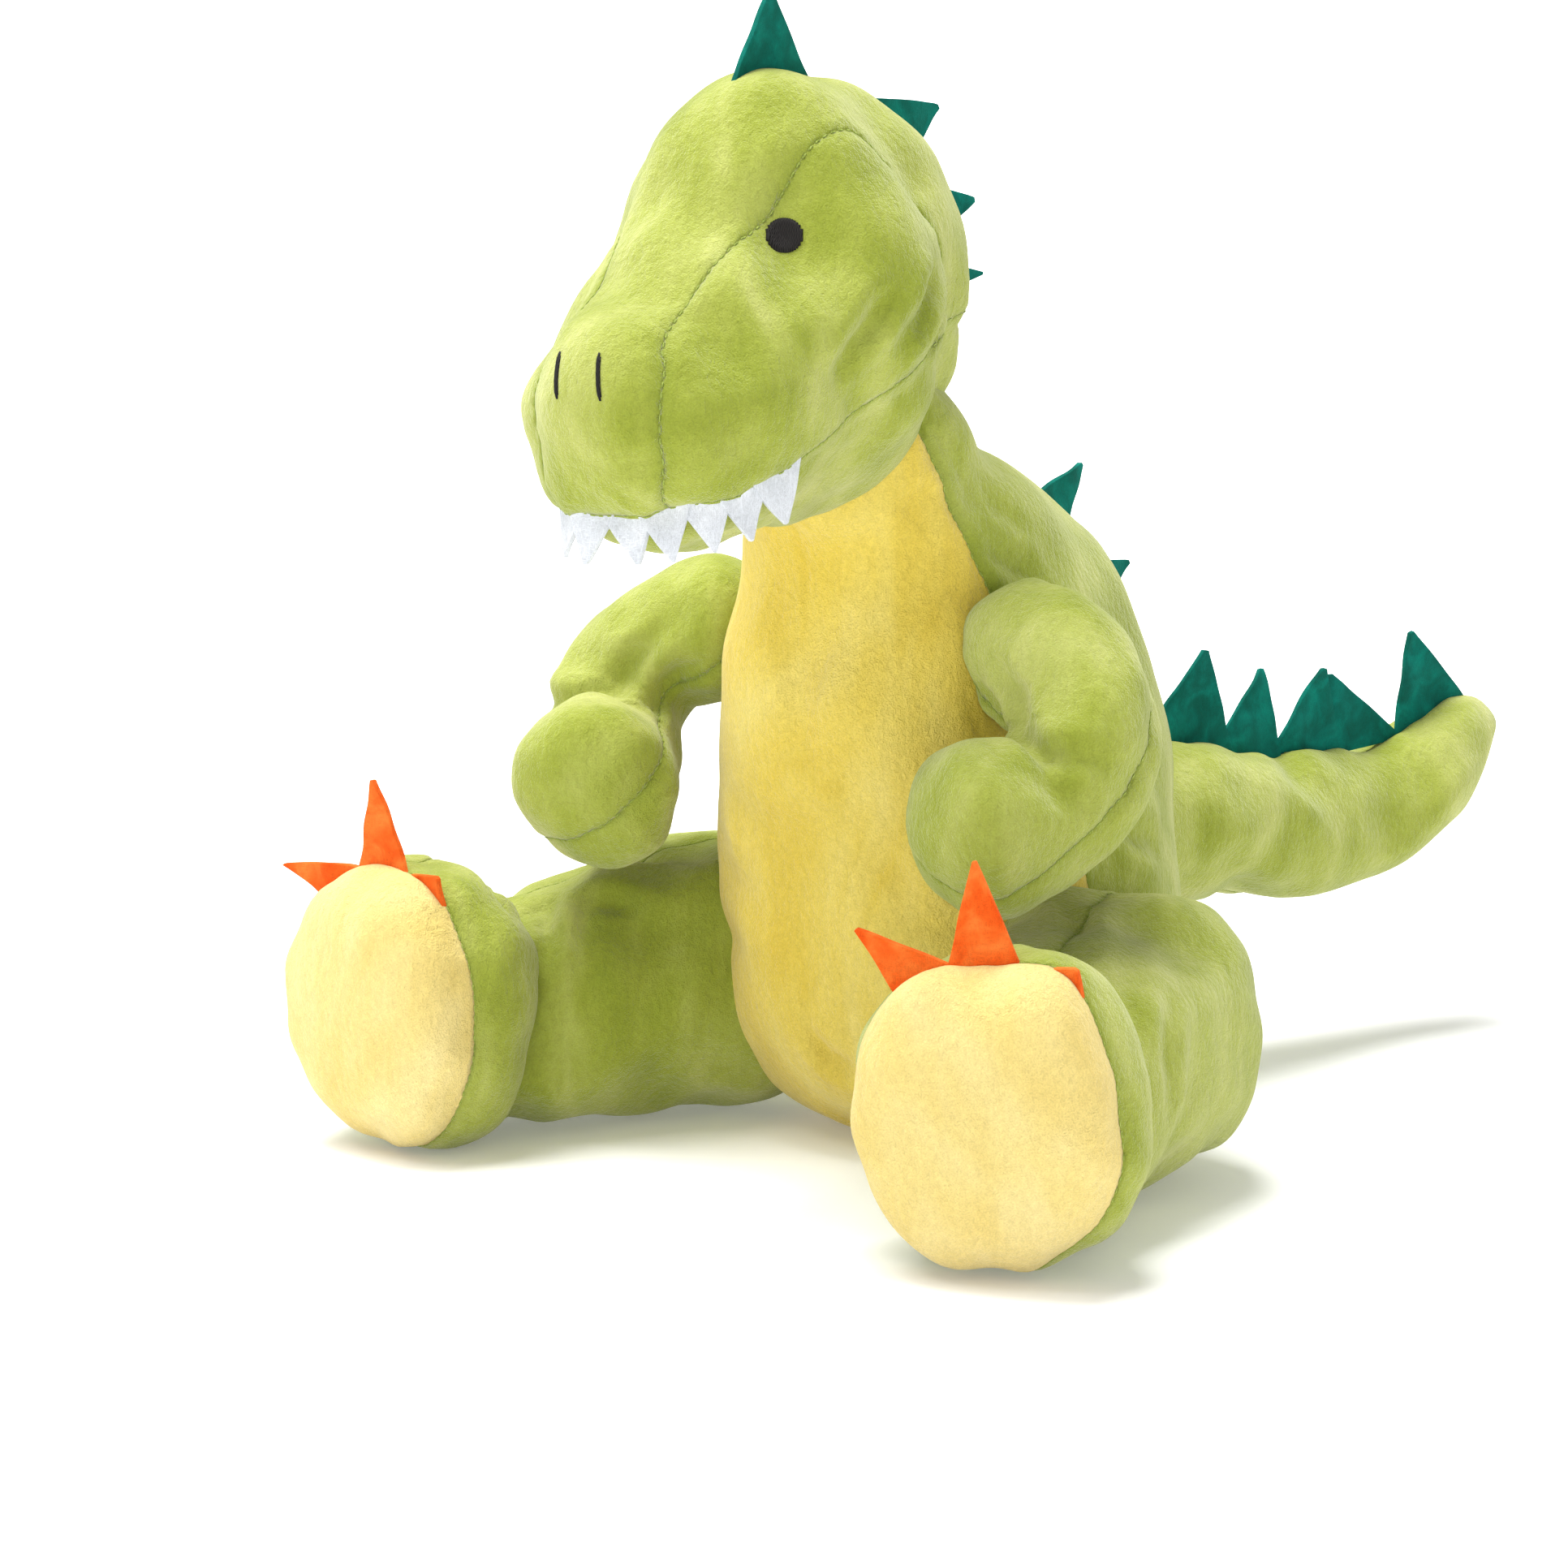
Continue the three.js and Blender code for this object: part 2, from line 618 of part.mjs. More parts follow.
function addLeg(leg) {
  const { side, word } = leg;
  const shape = legShape(leg);
  const { footAhead, hip, at } = legLines(leg);
  const seam = at(SOLE_AT);
  const towardsRight = new THREE.Vector3().crossVectors(footAhead, Z);
  const origin = new THREE.Vector3(seam.x, seam.y, 44);
  const claws = sewnIn(CLAWS.map(clawOutline), shape, origin, towardsRight, Z);
  const skin = skinOf(shape).subtract(claws.room);
  const [sole, upper] = halves(skin, seam, footAhead);
  const [inner, outer] = halves(upper, hip, shape.across.clone().multiplyScalar(side));
  add(`leg_${word}_inner_panel`, inner, GREEN);
  add(`leg_${word}_outer_panel`, outer, GREEN);
  add(`leg_${word}_sole`, sole, CREAM);
  add(`leg_${word}_stuffing`, fillingOf(shape), FIBRE);
  leg.claws.forEach((name, i) => add(`claw_${word}_${name}`, claws.felts[i], CLAW_FELT));
}

addTorso();
addHead();
addTail();
for (const leg of LEGS) {
  addArm(leg.side, leg.word);
  addLeg(leg);
}

export default toy;
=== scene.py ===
import math

import bpy
import numpy as np
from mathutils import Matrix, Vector
from mathutils.bvhtree import BVHTree
from mathutils.kdtree import KDTree


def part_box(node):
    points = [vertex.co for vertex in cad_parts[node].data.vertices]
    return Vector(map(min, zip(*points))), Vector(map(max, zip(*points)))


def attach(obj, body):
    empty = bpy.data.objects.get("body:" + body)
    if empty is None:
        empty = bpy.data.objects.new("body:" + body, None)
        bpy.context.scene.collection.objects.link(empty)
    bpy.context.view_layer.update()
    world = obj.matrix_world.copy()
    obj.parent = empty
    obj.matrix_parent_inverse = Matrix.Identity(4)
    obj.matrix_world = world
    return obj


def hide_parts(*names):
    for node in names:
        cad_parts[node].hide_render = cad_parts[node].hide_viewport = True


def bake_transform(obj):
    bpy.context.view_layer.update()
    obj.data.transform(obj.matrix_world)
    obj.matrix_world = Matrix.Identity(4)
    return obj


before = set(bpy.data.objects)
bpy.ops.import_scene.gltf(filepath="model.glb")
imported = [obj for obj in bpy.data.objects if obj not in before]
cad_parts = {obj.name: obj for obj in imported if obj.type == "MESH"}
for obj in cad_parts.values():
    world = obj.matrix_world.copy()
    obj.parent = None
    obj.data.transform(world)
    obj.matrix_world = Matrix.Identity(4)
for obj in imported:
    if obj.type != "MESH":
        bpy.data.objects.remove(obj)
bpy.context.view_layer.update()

# Lengths are in millimetres until a mesh is made; the frame is in metres.
MM = 0.001
UP = np.array([0.0, 0.0, 1.0])
LEFT = 1
RIGHT = -1
SIDES = {"left": LEFT, "right": RIGHT}

FINE = 1.9  # spacing of the fabric's mesh
COARSE = 6.0  # spacing of the mesh that the cloth simulation bends
FABRIC = 1.5  # thickness of a fabric panel
SOFTEN = 7.0  # reach of the smoothing that rounds the stuffed forms
STITCH_EVERY = 3.1
STITCH_LONG = 1.9
STITCH_THICK = 0.26
SIM_FRAMES = 20
SIM_CAP = 2.6  # furthest that the simulation may move a point
POLE_FADE = 14  # the simulated moves fade out this near to the ends of a form
THREAD_REACH = 5  # how far from a seam its thread gathers the fabric
SEAM_SHRINK = 0.099  # share by which the thread shortens the fabric at a seam
SLACK = 0.02  # share by which the fabric away from the seams may lengthen
SEAM_DEPTH = 0.4  # how far the fabric drops into a seam, as a share of the seam's profile
FLOOR_SOFT = 4  # radius of the bend where a form turns flat on the floor
FLOOR_GAP = 0.2
FLOOR_CLEAR = 6  # how far the fibre stays above the floor
FELT_THICK = 1.7
FELT_EDGE = 0.45  # width of the worn bevel on a felt piece's cut edges
FELT_ROOT = 2.5  # how much further than its CAD plate a felt piece reaches into its seam

SHOULDER = np.array([59.0, -46.0, 157.0])
HIP = np.array([75.0, -28.0, 45.0])
TAIL_JOINT = np.array([0.0, 66.0, 80.0])
NECK_JOINT = np.array([0.0, -54.0, 210.0])
NECK_LEAN = math.radians(24)
TAIL_BEND = math.radians(14)
LEG_SPLAY = {"left": math.radians(16.8), "right": math.radians(27)}
FOOT_TURN = {"left": 0.0, "right": math.radians(23)}
ANKLE_AT = 84.0
SOLE_AT = 119.0


# ---- Small geometry helpers ----------------------------------------------------------------------
def unit(vector):
    vector = np.asarray(vector, float)
    return vector / np.maximum(np.linalg.norm(vector, axis=-1, keepdims=True), 1e-9)


def curve_through(points, count):
    """A smooth curve through the points, at even steps."""
    points = np.asarray(points, float)
    ends = np.vstack([2 * points[0] - points[1], points, 2 * points[-1] - points[-2]])
    step = np.linspace(0, len(points) - 1, count)
    k = np.minimum(step.astype(int), len(points) - 2)
    f = (step - k)[:, None]
    a, b, c, d = (ends[k + i] for i in range(4))
    cubic = 3 * b - a - 3 * c + d
    return 0.5 * (2 * b + (c - a) * f + (2 * a - 5 * b + 4 * c - d) * f**2 + cubic * f**3)


def lumps(points, size, seed, waves=26):
    """Smooth seeded noise of about unit height, with lumps of one size."""
    rng = np.random.default_rng(seed)
    ways = unit(rng.normal(size=(waves, 3))) * (2 * math.pi / size)
    phase = rng.uniform(0, 2 * math.pi, waves)
    return np.sin(points @ ways.T + phase).sum(1) * math.sqrt(2 / waves)


def box_of(*nodes):
    """The lowest and highest corner of some CAD nodes together, in millimetres."""
    boxes = np.array([[list(corner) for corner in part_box(node)] for node in nodes]) / MM
    return boxes[:, 0].min(0), boxes[:, 1].max(0)


def fitted(points, nodes, form):
    """The points, scaled along each axis to the box of the CAD nodes that they stand for.
    A plump form goes past the box, by the millimetres that its "grow" gives for each corner."""
    low, high = box_of(*nodes)
    grow = np.array(form.get("grow", np.zeros((2, 3))), float)
    low, high = low + grow[0], high + grow[1]
    mine_low, mine_high = points.min(0), points.max(0)
    return low + (points - mine_low) * (high - low) / (mine_high - mine_low)


def near_line(points, line):
    """Distance of each point from a polyline, and the share of the line's length where it is nearest."""
    best = np.full(len(points), 1e9)
    share = np.zeros(len(points))
    for i, (a, b) in enumerate(zip(line[:-1], line[1:])):
        along = np.clip(((points - a) @ (b - a)) / max(((b - a) ** 2).sum(), 1e-9), 0, 1)
        distance = np.linalg.norm(points - a - along[:, None] * (b - a), axis=1)
        closer = distance < best
        best[closer] = distance[closer]
        share[closer] = (i + along[closer]) / (len(line) - 1)
    return best, share


def side_of(points, line):
    """Signed distance of flat points from a polyline: positive on its left."""
    best = np.full(len(points), 1e9)
    sign = np.ones(len(points))
    for a, b in zip(line[:-1], line[1:]):
        way = b - a
        along = np.clip(((points - a) @ way) / (way @ way), 0, 1)
        off = points - a - along[:, None] * way
        distance = np.linalg.norm(off, axis=1)
        closer = distance < best
        best[closer] = distance[closer]
        sign[closer] = np.sign(way[0] * off[closer, 1] - way[1] * off[closer, 0])
    return best * sign


# ---- Stuffed forms -------------------------------------------------------------------------------
# A form is a row of oval sections along a spine. A station is (x, y, z, half-width, half-depth on the
# outer side, half-depth on the inner side). Both ends close in round caps.
def rows_of(form, spacing, inset=0.0):
    """The sections of a form as a grid of points, and each row's place along the spine."""
    stations = np.asarray(form["stations"], float)
    dense = curve_through(stations, 40 * len(stations))
    path, half = dense[:, :3], dense[:, 3:] - inset
    length = np.concatenate([[0], np.cumsum(np.linalg.norm(np.diff(path, axis=0), axis=1))])
    along = np.linspace(0, length[-1], max(int(length[-1] / spacing), 4))
    centre = np.stack([np.interp(along, length, path[:, i]) for i in range(3)], 1)
    girth = np.stack([np.interp(along, length, half[:, i]) for i in range(3)], 1)
    tangent = unit(np.gradient(centre, axis=0))
    cap_start, cap_end = form["caps"][0] - inset, form["caps"][1] - inset

    def cap(size, row, sign):
        count = max(int(size * math.pi / 2 / spacing), 3)
        angle = (np.arange(count) + 0.5) / count * math.pi / 2
        shift = sign * size * np.cos(angle)
        place = centre[row] + tangent[row] * shift[:, None]
        return place, girth[row] * np.sin(angle)[:, None], along[row] + sign * size * (math.pi / 2 - angle)

    start, end = cap(cap_start, 0, -1), cap(cap_end, -1, 1)
    centre = np.vstack([start[0], centre, end[0][::-1]])
    girth = np.vstack([start[1], girth, end[1][::-1]])
    place = np.concatenate([start[2], along, end[2][::-1]])
    tangent = np.vstack([np.repeat(tangent[:1], len(start[2]), 0), tangent, np.repeat(tangent[-1:], len(end[2]), 0)])
    outward = unit(np.cross(form["across"], tangent))
    lateral = np.cross(tangent, outward)
    cols = 2 * int(math.pi * girth.max() / spacing)
    angle = np.arange(cols) / cols * 2 * math.pi
    full = np.where(np.cos(angle) >= 0, form.get("squareness", 1.0), form.get("fullness", 1.0))
    wide = np.sign(np.sin(angle)) * np.abs(np.sin(angle)) ** full
    deep = np.sign(np.cos(angle)) * np.abs(np.cos(angle)) ** full
    depth = np.where(deep >= 0, girth[:, 1:2], girth[:, 2:3]) * deep
    grid = centre[:, None] + lateral[:, None] * (girth[:, :1] * wide)[..., None]
    return grid + outward[:, None] * depth[..., None], place


def softened(grid, spacing, reach):
    """A grid of sections with its bends and corners rounded off, across the poles too."""
    width = max(int(2.5 * reach / spacing), 1)
    offsets = np.arange(-width, width + 1)
    weights = np.exp(-0.5 * (offsets * spacing / reach) ** 2)
    weights /= weights.sum()
    half = grid.shape[1] // 2
    width = min(width, len(grid) - 1)
    before = np.roll(grid[:width][::-1], half, axis=1)
    after = np.roll(grid[-width:][::-1], half, axis=1)
    tall = np.concatenate([before, grid, after])
    keep = weights[len(weights) // 2 - width : len(weights) // 2 + width + 1]
    keep = keep / keep.sum()
    rows = sum(w * tall[i : i + len(grid)] for i, w in enumerate(keep))
    return sum(w * np.roll(rows, k, axis=1) for w, k in zip(weights, offsets))


def rounded(grid, spacing):
    """Softened, without the loss of girth that smoothing brings."""
    once = softened(grid, spacing, SOFTEN)
    return 2 * once - softened(once, spacing, SOFTEN)


def closed_faces(rows, cols):
    """Faces of a grid of sections whose ends close in one point each, after the grid's own points."""
    faces = []
    for r in range(rows - 1):
        for c in range(cols):
            d = (c + 1) % cols
            faces.append([r * cols + c, (r + 1) * cols + c, (r + 1) * cols + d, r * cols + d])
    first, last = rows * cols, rows * cols + 1
    for c in range(cols):
        d = (c + 1) % cols
        faces.append([first, c, d])
        faces.append([last, (rows - 1) * cols + d, (rows - 1) * cols + c])
    return faces


def closed_points(grid):
    return np.vstack([grid.reshape(-1, 3), grid[0].mean(0), grid[-1].mean(0)])


def mesh_of(name, points, faces):
    mesh = bpy.data.meshes.new(name)
    mesh.from_pydata((np.asarray(points) * MM).tolist(), [], faces)
    mesh.update()
    return mesh


def normals_of(points, faces):
    """Vertex normals, on the side that the faces look towards."""
    mesh = mesh_of("probe", points, faces)
    flat = np.zeros(len(points) * 3, np.float32)
    mesh.vertex_normals.foreach_get("vector", flat)
    bpy.data.meshes.remove(mesh)
    return flat.reshape(-1, 3).astype(float)


def outward_faces(points, faces):
    """The faces, turned so that they look outwards."""
    sample = faces[:: max(len(faces) // 4000, 1)]
    volume = sum(np.dot(points[f[0]], np.cross(points[f[1]], points[f[2]])) for f in sample)
    return faces if volume > 0 else [face[::-1] for face in faces]


# ---- Cloth simulation ----------------------------------------------------------------------------
def puckers(form, seams):
    """How a cloth simulation moves the form's fabric: blown up from inside, with short seam threads.
    Returns the move of each point of a coarse grid, and the place of its rows."""
    grid, place = rows_of(form, COARSE)
    grid = rounded(grid, COARSE)
    points = closed_points(grid)
    faces = outward_faces(points, closed_faces(*grid.shape[:2]))
    thing = bpy.data.objects.new("sim", mesh_of("sim", points, faces))
    bpy.context.scene.collection.objects.link(thing)
    group = thing.vertex_groups.new(name="seam")
    tight = np.zeros(len(points))
    for seam in seams:
        tight = np.maximum(tight, np.exp(-np.abs(seam(points)) / THREAD_REACH))
    rough = 0.5 + 0.5 * lumps(points, 26, 5)
    for i, weight in enumerate(np.clip(tight * (0.75 + 0.4 * rough), 0, 1)):
        group.add([i], float(weight), "REPLACE")
    cloth = thing.modifiers.new("cloth", "CLOTH")
    settings = cloth.settings
    settings.quality = 6
    settings.mass = 0.15
    settings.tension_stiffness = 25
    settings.compression_stiffness = 25
    settings.shear_stiffness = 8
    settings.bending_stiffness = 0.4
    settings.use_pressure = True
    settings.uniform_pressure_force = 4
    settings.vertex_group_shrink = "seam"
    settings.shrink_min = -SLACK
    settings.shrink_max = SEAM_SHRINK
    settings.effector_weights.gravity = 0
    cloth.point_cache.frame_start = 1
    cloth.point_cache.frame_end = SIM_FRAMES
    scene = bpy.context.scene
    for number in range(1, SIM_FRAMES + 1):
        scene.frame_set(number)
    solved = thing.evaluated_get(bpy.context.evaluated_depsgraph_get()).to_mesh()
    flat = np.zeros(len(points) * 3, np.float32)
    solved.vertices.foreach_get("co", flat)
    scene.frame_set(1)
    bpy.data.objects.remove(thing)
    moved = (flat.reshape(-1, 3) / MM - points)[:-2].reshape(grid.shape)
    moved = moved - softened(moved, COARSE, 4.5 * COARSE)
    reach = np.linalg.norm(moved, axis=-1, keepdims=True)
    return moved * np.minimum(1, SIM_CAP / np.maximum(reach, 1e-6)), place


def spread_over(moved, place, grid_shape, fine_place):
    """The moves of a coarse grid, read off at the rows and columns of a finer one."""
    rows = np.interp(fine_place, place, np.arange(len(place)))
    cols = np.arange(grid_shape[1]) / grid_shape[1] * moved.shape[1]
    r0 = np.minimum(rows.astype(int), len(place) - 2)
    c0 = cols.astype(int)
    fr = (rows - r0)[:, None, None]
    fc = (cols - c0)[None, :, None]
    c1 = (c0 + 1) % moved.shape[1]
    top = moved[r0][:, c0] * (1 - fc) + moved[r0][:, c1] * fc
    low = moved[r0 + 1][:, c0] * (1 - fc) + moved[r0 + 1][:, c1] * fc
    smooth = softened(top * (1 - fr) + low * fr, FINE, 0.6 * COARSE)
    row = np.arange(len(smooth))
    from_pole = np.minimum(row, len(smooth) - 1 - row) * FINE
    return smooth * np.clip(from_pole / POLE_FADE, 0, 1)[:, None, None]


# ---- Cutting a form into panels ------------------------------------------------------------------
def cut(rest, final, faces, field):
    """Splits the faces along the line where the field is zero."""
    value = field(rest)
    value[np.abs(value) < 0.25] = 0
    value, rest, final = list(value), list(rest), list(final)
    made = {}

    def crossing(a, b):
        key = (min(a, b), max(a, b))
        if key not in made:
            share = value[a] / (value[a] - value[b])
            made[key] = len(rest)
            rest.append(rest[a] + (rest[b] - rest[a]) * share)
            final.append(final[a] + (final[b] - final[a]) * share)
            value.append(0.0)
        return made[key]

    pieces = []
    for face in faces:
        here = [value[v] for v in face]
        if min(here) >= 0 or max(here) <= 0:
            pieces.append(face)
            continue
        changes = sum(a * b < 0 for a, b in zip(here, here[1:] + here[:1]))
        parts = [face] if changes < 3 else [face[:3], [face[0], face[2], face[3]]]
        for part in parts:
            above, below = [], []
            for a, b in zip(part, part[1:] + part[:1]):
                if value[a] >= 0:
                    above.append(a)
                if value[a] <= 0:
                    below.append(a)
                if value[a] * value[b] < 0:
                    middle = crossing(a, b)
                    above.append(middle)
                    below.append(middle)
            pieces += [poly for poly in (above, below) if len(poly) > 2]
    return np.array(rest), np.array(final), pieces


def borders(faces, labels):
    """The edges between faces of different panels, chained into lines of vertices."""
    owner, links = {}, {}
    for face, label in zip(faces, labels):
        for a, b in zip(face, face[1:] + face[:1]):
            key = (min(a, b), max(a, b))
            if owner.setdefault(key, label) != label:
                links.setdefault(a, set()).add(b)
                links.setdefault(b, set()).add(a)
    lines = []
    while any(links.values()):
        ends = [v for v in sorted(links) if links[v] and len(links[v]) != 2]
        at = ends[0] if ends else next(v for v in sorted(links) if links[v])
        line = [at]
        while links[at]:
            after = min(links[at])
            links[at].discard(after)
            links[after].discard(at)
            line.append(after)
            at = after
            if len(links[at]) > 1:
                break
        lines.append(line)
    return lines


def seam_profile(distance, points):
    """How far the fabric drops beside a seam: a narrow valley, a soft roll, and small gathers."""
    valley = 1.3 * np.exp(-((distance / 1.7) ** 2)) + 1.2 * np.exp(-distance / 5.5)
    gathers = 0.3 * lumps(points, 8.5, 17) + 0.25 * lumps(points, 14, 18)
    return -SEAM_DEPTH * valley + SEAM_DEPTH * gathers * np.exp(-((distance - 3.5) / 6) ** 2)


def stitches(name, lines, points, normals, material):
    """A row of small thread stitches along each seam line, as one piece."""
    verts, faces = [], []
    for line in lines:
        path = points[line]
        length = np.concatenate([[0], np.cumsum(np.linalg.norm(np.diff(path, axis=0), axis=1))])
        if length[-1] < 2 * STITCH_EVERY:
            continue
        for at in np.arange(STITCH_EVERY, length[-1] - STITCH_EVERY / 2, STITCH_EVERY):
            reads = [[np.interp(s, length, path[:, i]) for i in range(3)] for s in (at - 1, at, at + 1)]
            back, here, front = (np.array(read) for read in reads)
            way = unit(front - back)
            out = unit([np.interp(at, length, normals[line][:, i]) for i in range(3)])
            beside = np.cross(way, out)
            first = len(verts)
            middle = here + out * 0.12
            for share, thick in ((-0.5, 0.35), (-0.3, 1.0), (0.3, 1.0), (0.5, 0.35)):
                for k in range(6):
                    angle = k * math.pi / 3
                    ring = (beside * math.cos(angle) + out * math.sin(angle)) * STITCH_THICK * thick
                    verts.append(middle + way * STITCH_LONG * share + ring)
            for ring in range(3):
                for k in range(6):
                    a, b = first + ring * 6 + k, first + ring * 6 + (k + 1) % 6
                    faces.append([a, b, b + 6, a + 6])
            faces.append([first + k for k in range(6)][::-1])
            faces.append([first + 18 + k for k in range(6)])
    return placed(name, np.array(verts), faces, material)


def placed(name, points, faces, material):
    """A smooth mesh object in the scene, with its material."""
    mesh = mesh_of(name, points, faces)
    mesh.polygons.foreach_set("use_smooth", [True] * len(mesh.polygons))
    thing = bpy.data.objects.new(name, mesh)
    thing.data.materials.append(material)
    bpy.context.scene.collection.objects.link(thing)
    return thing


def moved_by(thing, body, joint=None):
    """Rides on its body; across a sewn joint it is left unparented, with its place baked into its mesh."""
    if joint is None:
        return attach(thing, body)
    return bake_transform(thing)


def sewn(part, body, form, seams, label, panels, sculpt, joint=None):
    """Makes the fabric of one stuffed part: simulated, sculpted, cut into panels and stitched.
    panels is a list of (CAD node, material), in the order of the labels. Returns the fabric's points
    before and after sculpting, and its faces."""
    grid, place = rows_of(form, FINE)
    grid = rounded(grid, FINE)
    shape = grid.shape
    if form.get("floor"):
        grid[..., 2] = 0.5 * (grid[..., 2] + np.sqrt(grid[..., 2] ** 2 + FLOOR_SOFT**2))
    rest = fitted(closed_points(grid), [node for node, _ in panels], form)
    moved, coarse_place = puckers(form, seams)
    wrinkle = spread_over(moved, coarse_place, shape, place).reshape(-1, 3)
    final = rest + np.vstack([wrinkle, np.zeros((2, 3))])
    faces = outward_faces(rest, closed_faces(*shape[:2]))
    final = final + sculpt(rest, normals_of(rest, faces))
    if form.get("floor"):
        final[:, 2] = np.maximum(final[:, 2], FLOOR_GAP)
    for seam in seams:
        rest, final, faces = cut(rest, final, faces, seam)
    centres = np.array([rest[face].mean(0) for face in faces])
    labels = label(centres)
    lines = borders(faces, labels)
    tree_points = np.vstack([curve_through(final[line], 4 * len(line)) for line in lines if len(line) > 1])
    tree = KDTree(len(tree_points))
    for i, point in enumerate(tree_points):
        tree.insert(point, i)
    tree.balance()
    distance = np.array([tree.find(point)[2] for point in final])
    normals = normals_of(final, faces)
    final = final + normals * seam_profile(distance, rest)[:, None]
    if form.get("floor"):
        final[:, 2] = np.maximum(final[:, 2], FLOOR_GAP)
    # near weighs the painted shade that darkens the fabric inside the seam grooves.
    near = np.exp(-((distance / 2.2) ** 2))
    for number, (node, material) in enumerate(panels):
        mine = [face for face, own in zip(faces, labels) if own == number]
        used = sorted({v for face in mine for v in face})
        index = {v: i for i, v in enumerate(used)}
        thing = placed(node + "_fabric", final[used], [[index[v] for v in face] for face in mine], material)
        # The seam attribute carries that painted seam shade's weight to the material.
        seam = thing.data.attributes.new("seam", "FLOAT", "POINT")
        seam.data.foreach_set("value", near[used].astype(np.float32))
        solid = thing.modifiers.new("fabric", "SOLIDIFY")
        solid.thickness = FABRIC * MM
        solid.offset = -1
        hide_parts(node)
        moved_by(thing, body, joint)
    row = stitches(part + "_stitches", lines, final, normals, THREAD_GREEN)
    moved_by(row, body, joint)
    return rest, final, faces


def filling(node, body, form, seed, inset=8.0):
    """The fibre inside a stuffed part: a lumpy form, clear of the fabric all round."""
    grid, _ = rows_of(form, COARSE)
    points = fitted(closed_points(rounded(grid, COARSE)), [node], form)
    faces = outward_faces(points, closed_faces(*grid.shape[:2]))
    out = normals_of(points, faces)
    rough = 0.8 * lumps(points, 17, seed) + 0.5 * lumps(points, 8, seed + 1)
    points = points + out * (rough - inset)[:, None]
    if form.get("floor"):
        points[:, 2] = np.maximum(points[:, 2], FLOOR_CLEAR)
    thing = placed(node + "_fibre", points, faces, FIBRE)
    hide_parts(node)
    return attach(thing, body)


# ---- Materials -----------------------------------------------------------------------------------
def linear(hex_colour):
    """A web colour as linear red, green, blue and alpha."""
    parts = [int(hex_colour[i : i + 2], 16) / 255 for i in (1, 3, 5)]
    return [p / 12.92 if p <= 0.04045 else ((p + 0.055) / 1.055) ** 2.4 for p in parts] + [1.0]


class Shader:
    """A node material, built by adding nodes and joining their sockets."""

    def __init__(self, name):
        self.material = bpy.data.materials.new(name)
        self.material.use_nodes = True
        self.tree = self.material.node_tree
        self.surface = self.tree.nodes["Principled BSDF"]

    def add(self, kind, sockets=None, **settings):
        node = self.tree.nodes.new("ShaderNode" + kind)
        for key, value in settings.items():
            setattr(node, key, value)
        for key, value in (sockets or {}).items():
            self.put(node, key, value)
        return node

    def put(self, node, key, value):
        if isinstance(value, bpy.types.NodeSocket):
            self.tree.links.new(value, node.inputs[key])
        else:
            node.inputs[key].default_value = value

    def place(self, stretch=(1, 1, 1)):
        coords = self.add("TexCoord").outputs["Object"]
        return self.add("Mapping", {"Vector": coords, "Scale": stretch}).outputs["Vector"]

    def noise(self, vector, scale, detail=2.0, distortion=0.0):
        sockets = {"Vector": vector, "Scale": scale, "Detail": detail, "Distortion": distortion}
        return self.add("TexNoise", sockets).outputs["Fac"]

    def math(self, operation, a, b):
        return self.add("Math", {0: a, 1: b}, operation=operation).outputs[0]

    def ramp(self, factor, stops):
        node = self.add("ValToRGB", {"Fac": factor})
        node.color_ramp.interpolation = "B_SPLINE"
        while len(node.color_ramp.elements) < len(stops):
            node.color_ramp.elements.new(0.5)
        for element, (place, colour) in zip(node.color_ramp.elements, stops):
            element.position = place
            element.color = linear(colour)
        return node.outputs["Color"]

    def mix(self, factor, a, b, blend="MIX"):
        node = self.add("Mix", data_type="RGBA", blend_type=blend)
        self.put(node, 0, factor)
        self.put(node, 6, a)
        self.put(node, 7, b)
        return node.outputs[2]

    def done(self, colour, height, bump, distance, roughness, sheen=0.0, tint="#ffffff", sheen_rough=0.5):
        normal = self.add("Bump", {"Height": height, "Strength": bump, "Distance": distance})
        self.put(self.surface, "Base Color", colour)
        self.put(self.surface, "Normal", normal.outputs["Normal"])
        self.put(self.surface, "Roughness", roughness)
        self.put(self.surface, "Specular IOR Level", 0.15)
        self.put(self.surface, "Sheen Weight", sheen)
        self.put(self.surface, "Sheen Roughness", sheen_rough)
        self.put(self.surface, "Sheen Tint", linear(tint))
        return self.material


def plush(name, dark, middle, light, seam, tint, sheen=0.4):
    """Short-pile fabric: brushed patches of nap, fine tufts, and painted shade that darkens the fabric beside each
    seam towards the colour seam.
    """
    made = Shader(name)
    brushed = made.place((1, 1, 0.55))
    patches = made.noise(brushed, 19, 2, 1.6)
    strokes = made.noise(made.place((1.4, 1, 0.35)), 75, 3, 0.8)
    tufts = made.noise(made.place((1, 1, 0.7)), 520, 3)
    grain = made.noise(made.place(), 2100, 2)
    both = made.math("ADD", made.math("MULTIPLY", patches, 0.75), made.math("MULTIPLY", strokes, 0.25))
    colour = made.ramp(both, [(0.3, dark), (0.5, middle), (0.72, light)])
    shade = made.ramp(tufts, [(0.25, "#c4c4c4"), (0.75, "#ffffff")])
    colour = made.mix(0.36, colour, shade, "MULTIPLY")
    speck = made.ramp(grain, [(0.32, "#b4b4b4"), (0.68, "#ffffff")])
    colour = made.mix(0.4, colour, speck, "MULTIPLY")
    # Painted shade: where the seam attribute is high, in a seam's groove, the colour darkens towards the seam
    # colour.
    near = made.add("Attribute", attribute_name="seam", attribute_type="GEOMETRY").outputs["Fac"]
    colour = made.mix(made.math("MULTIPLY", near, 0.3), colour, linear(seam))
    height = made.math("ADD", made.math("MULTIPLY", tufts, 0.65), made.math("MULTIPLY", grain, 0.35))
    return made.done(colour, height, 0.95, 0.0015, 0.95, sheen, tint, 0.4)


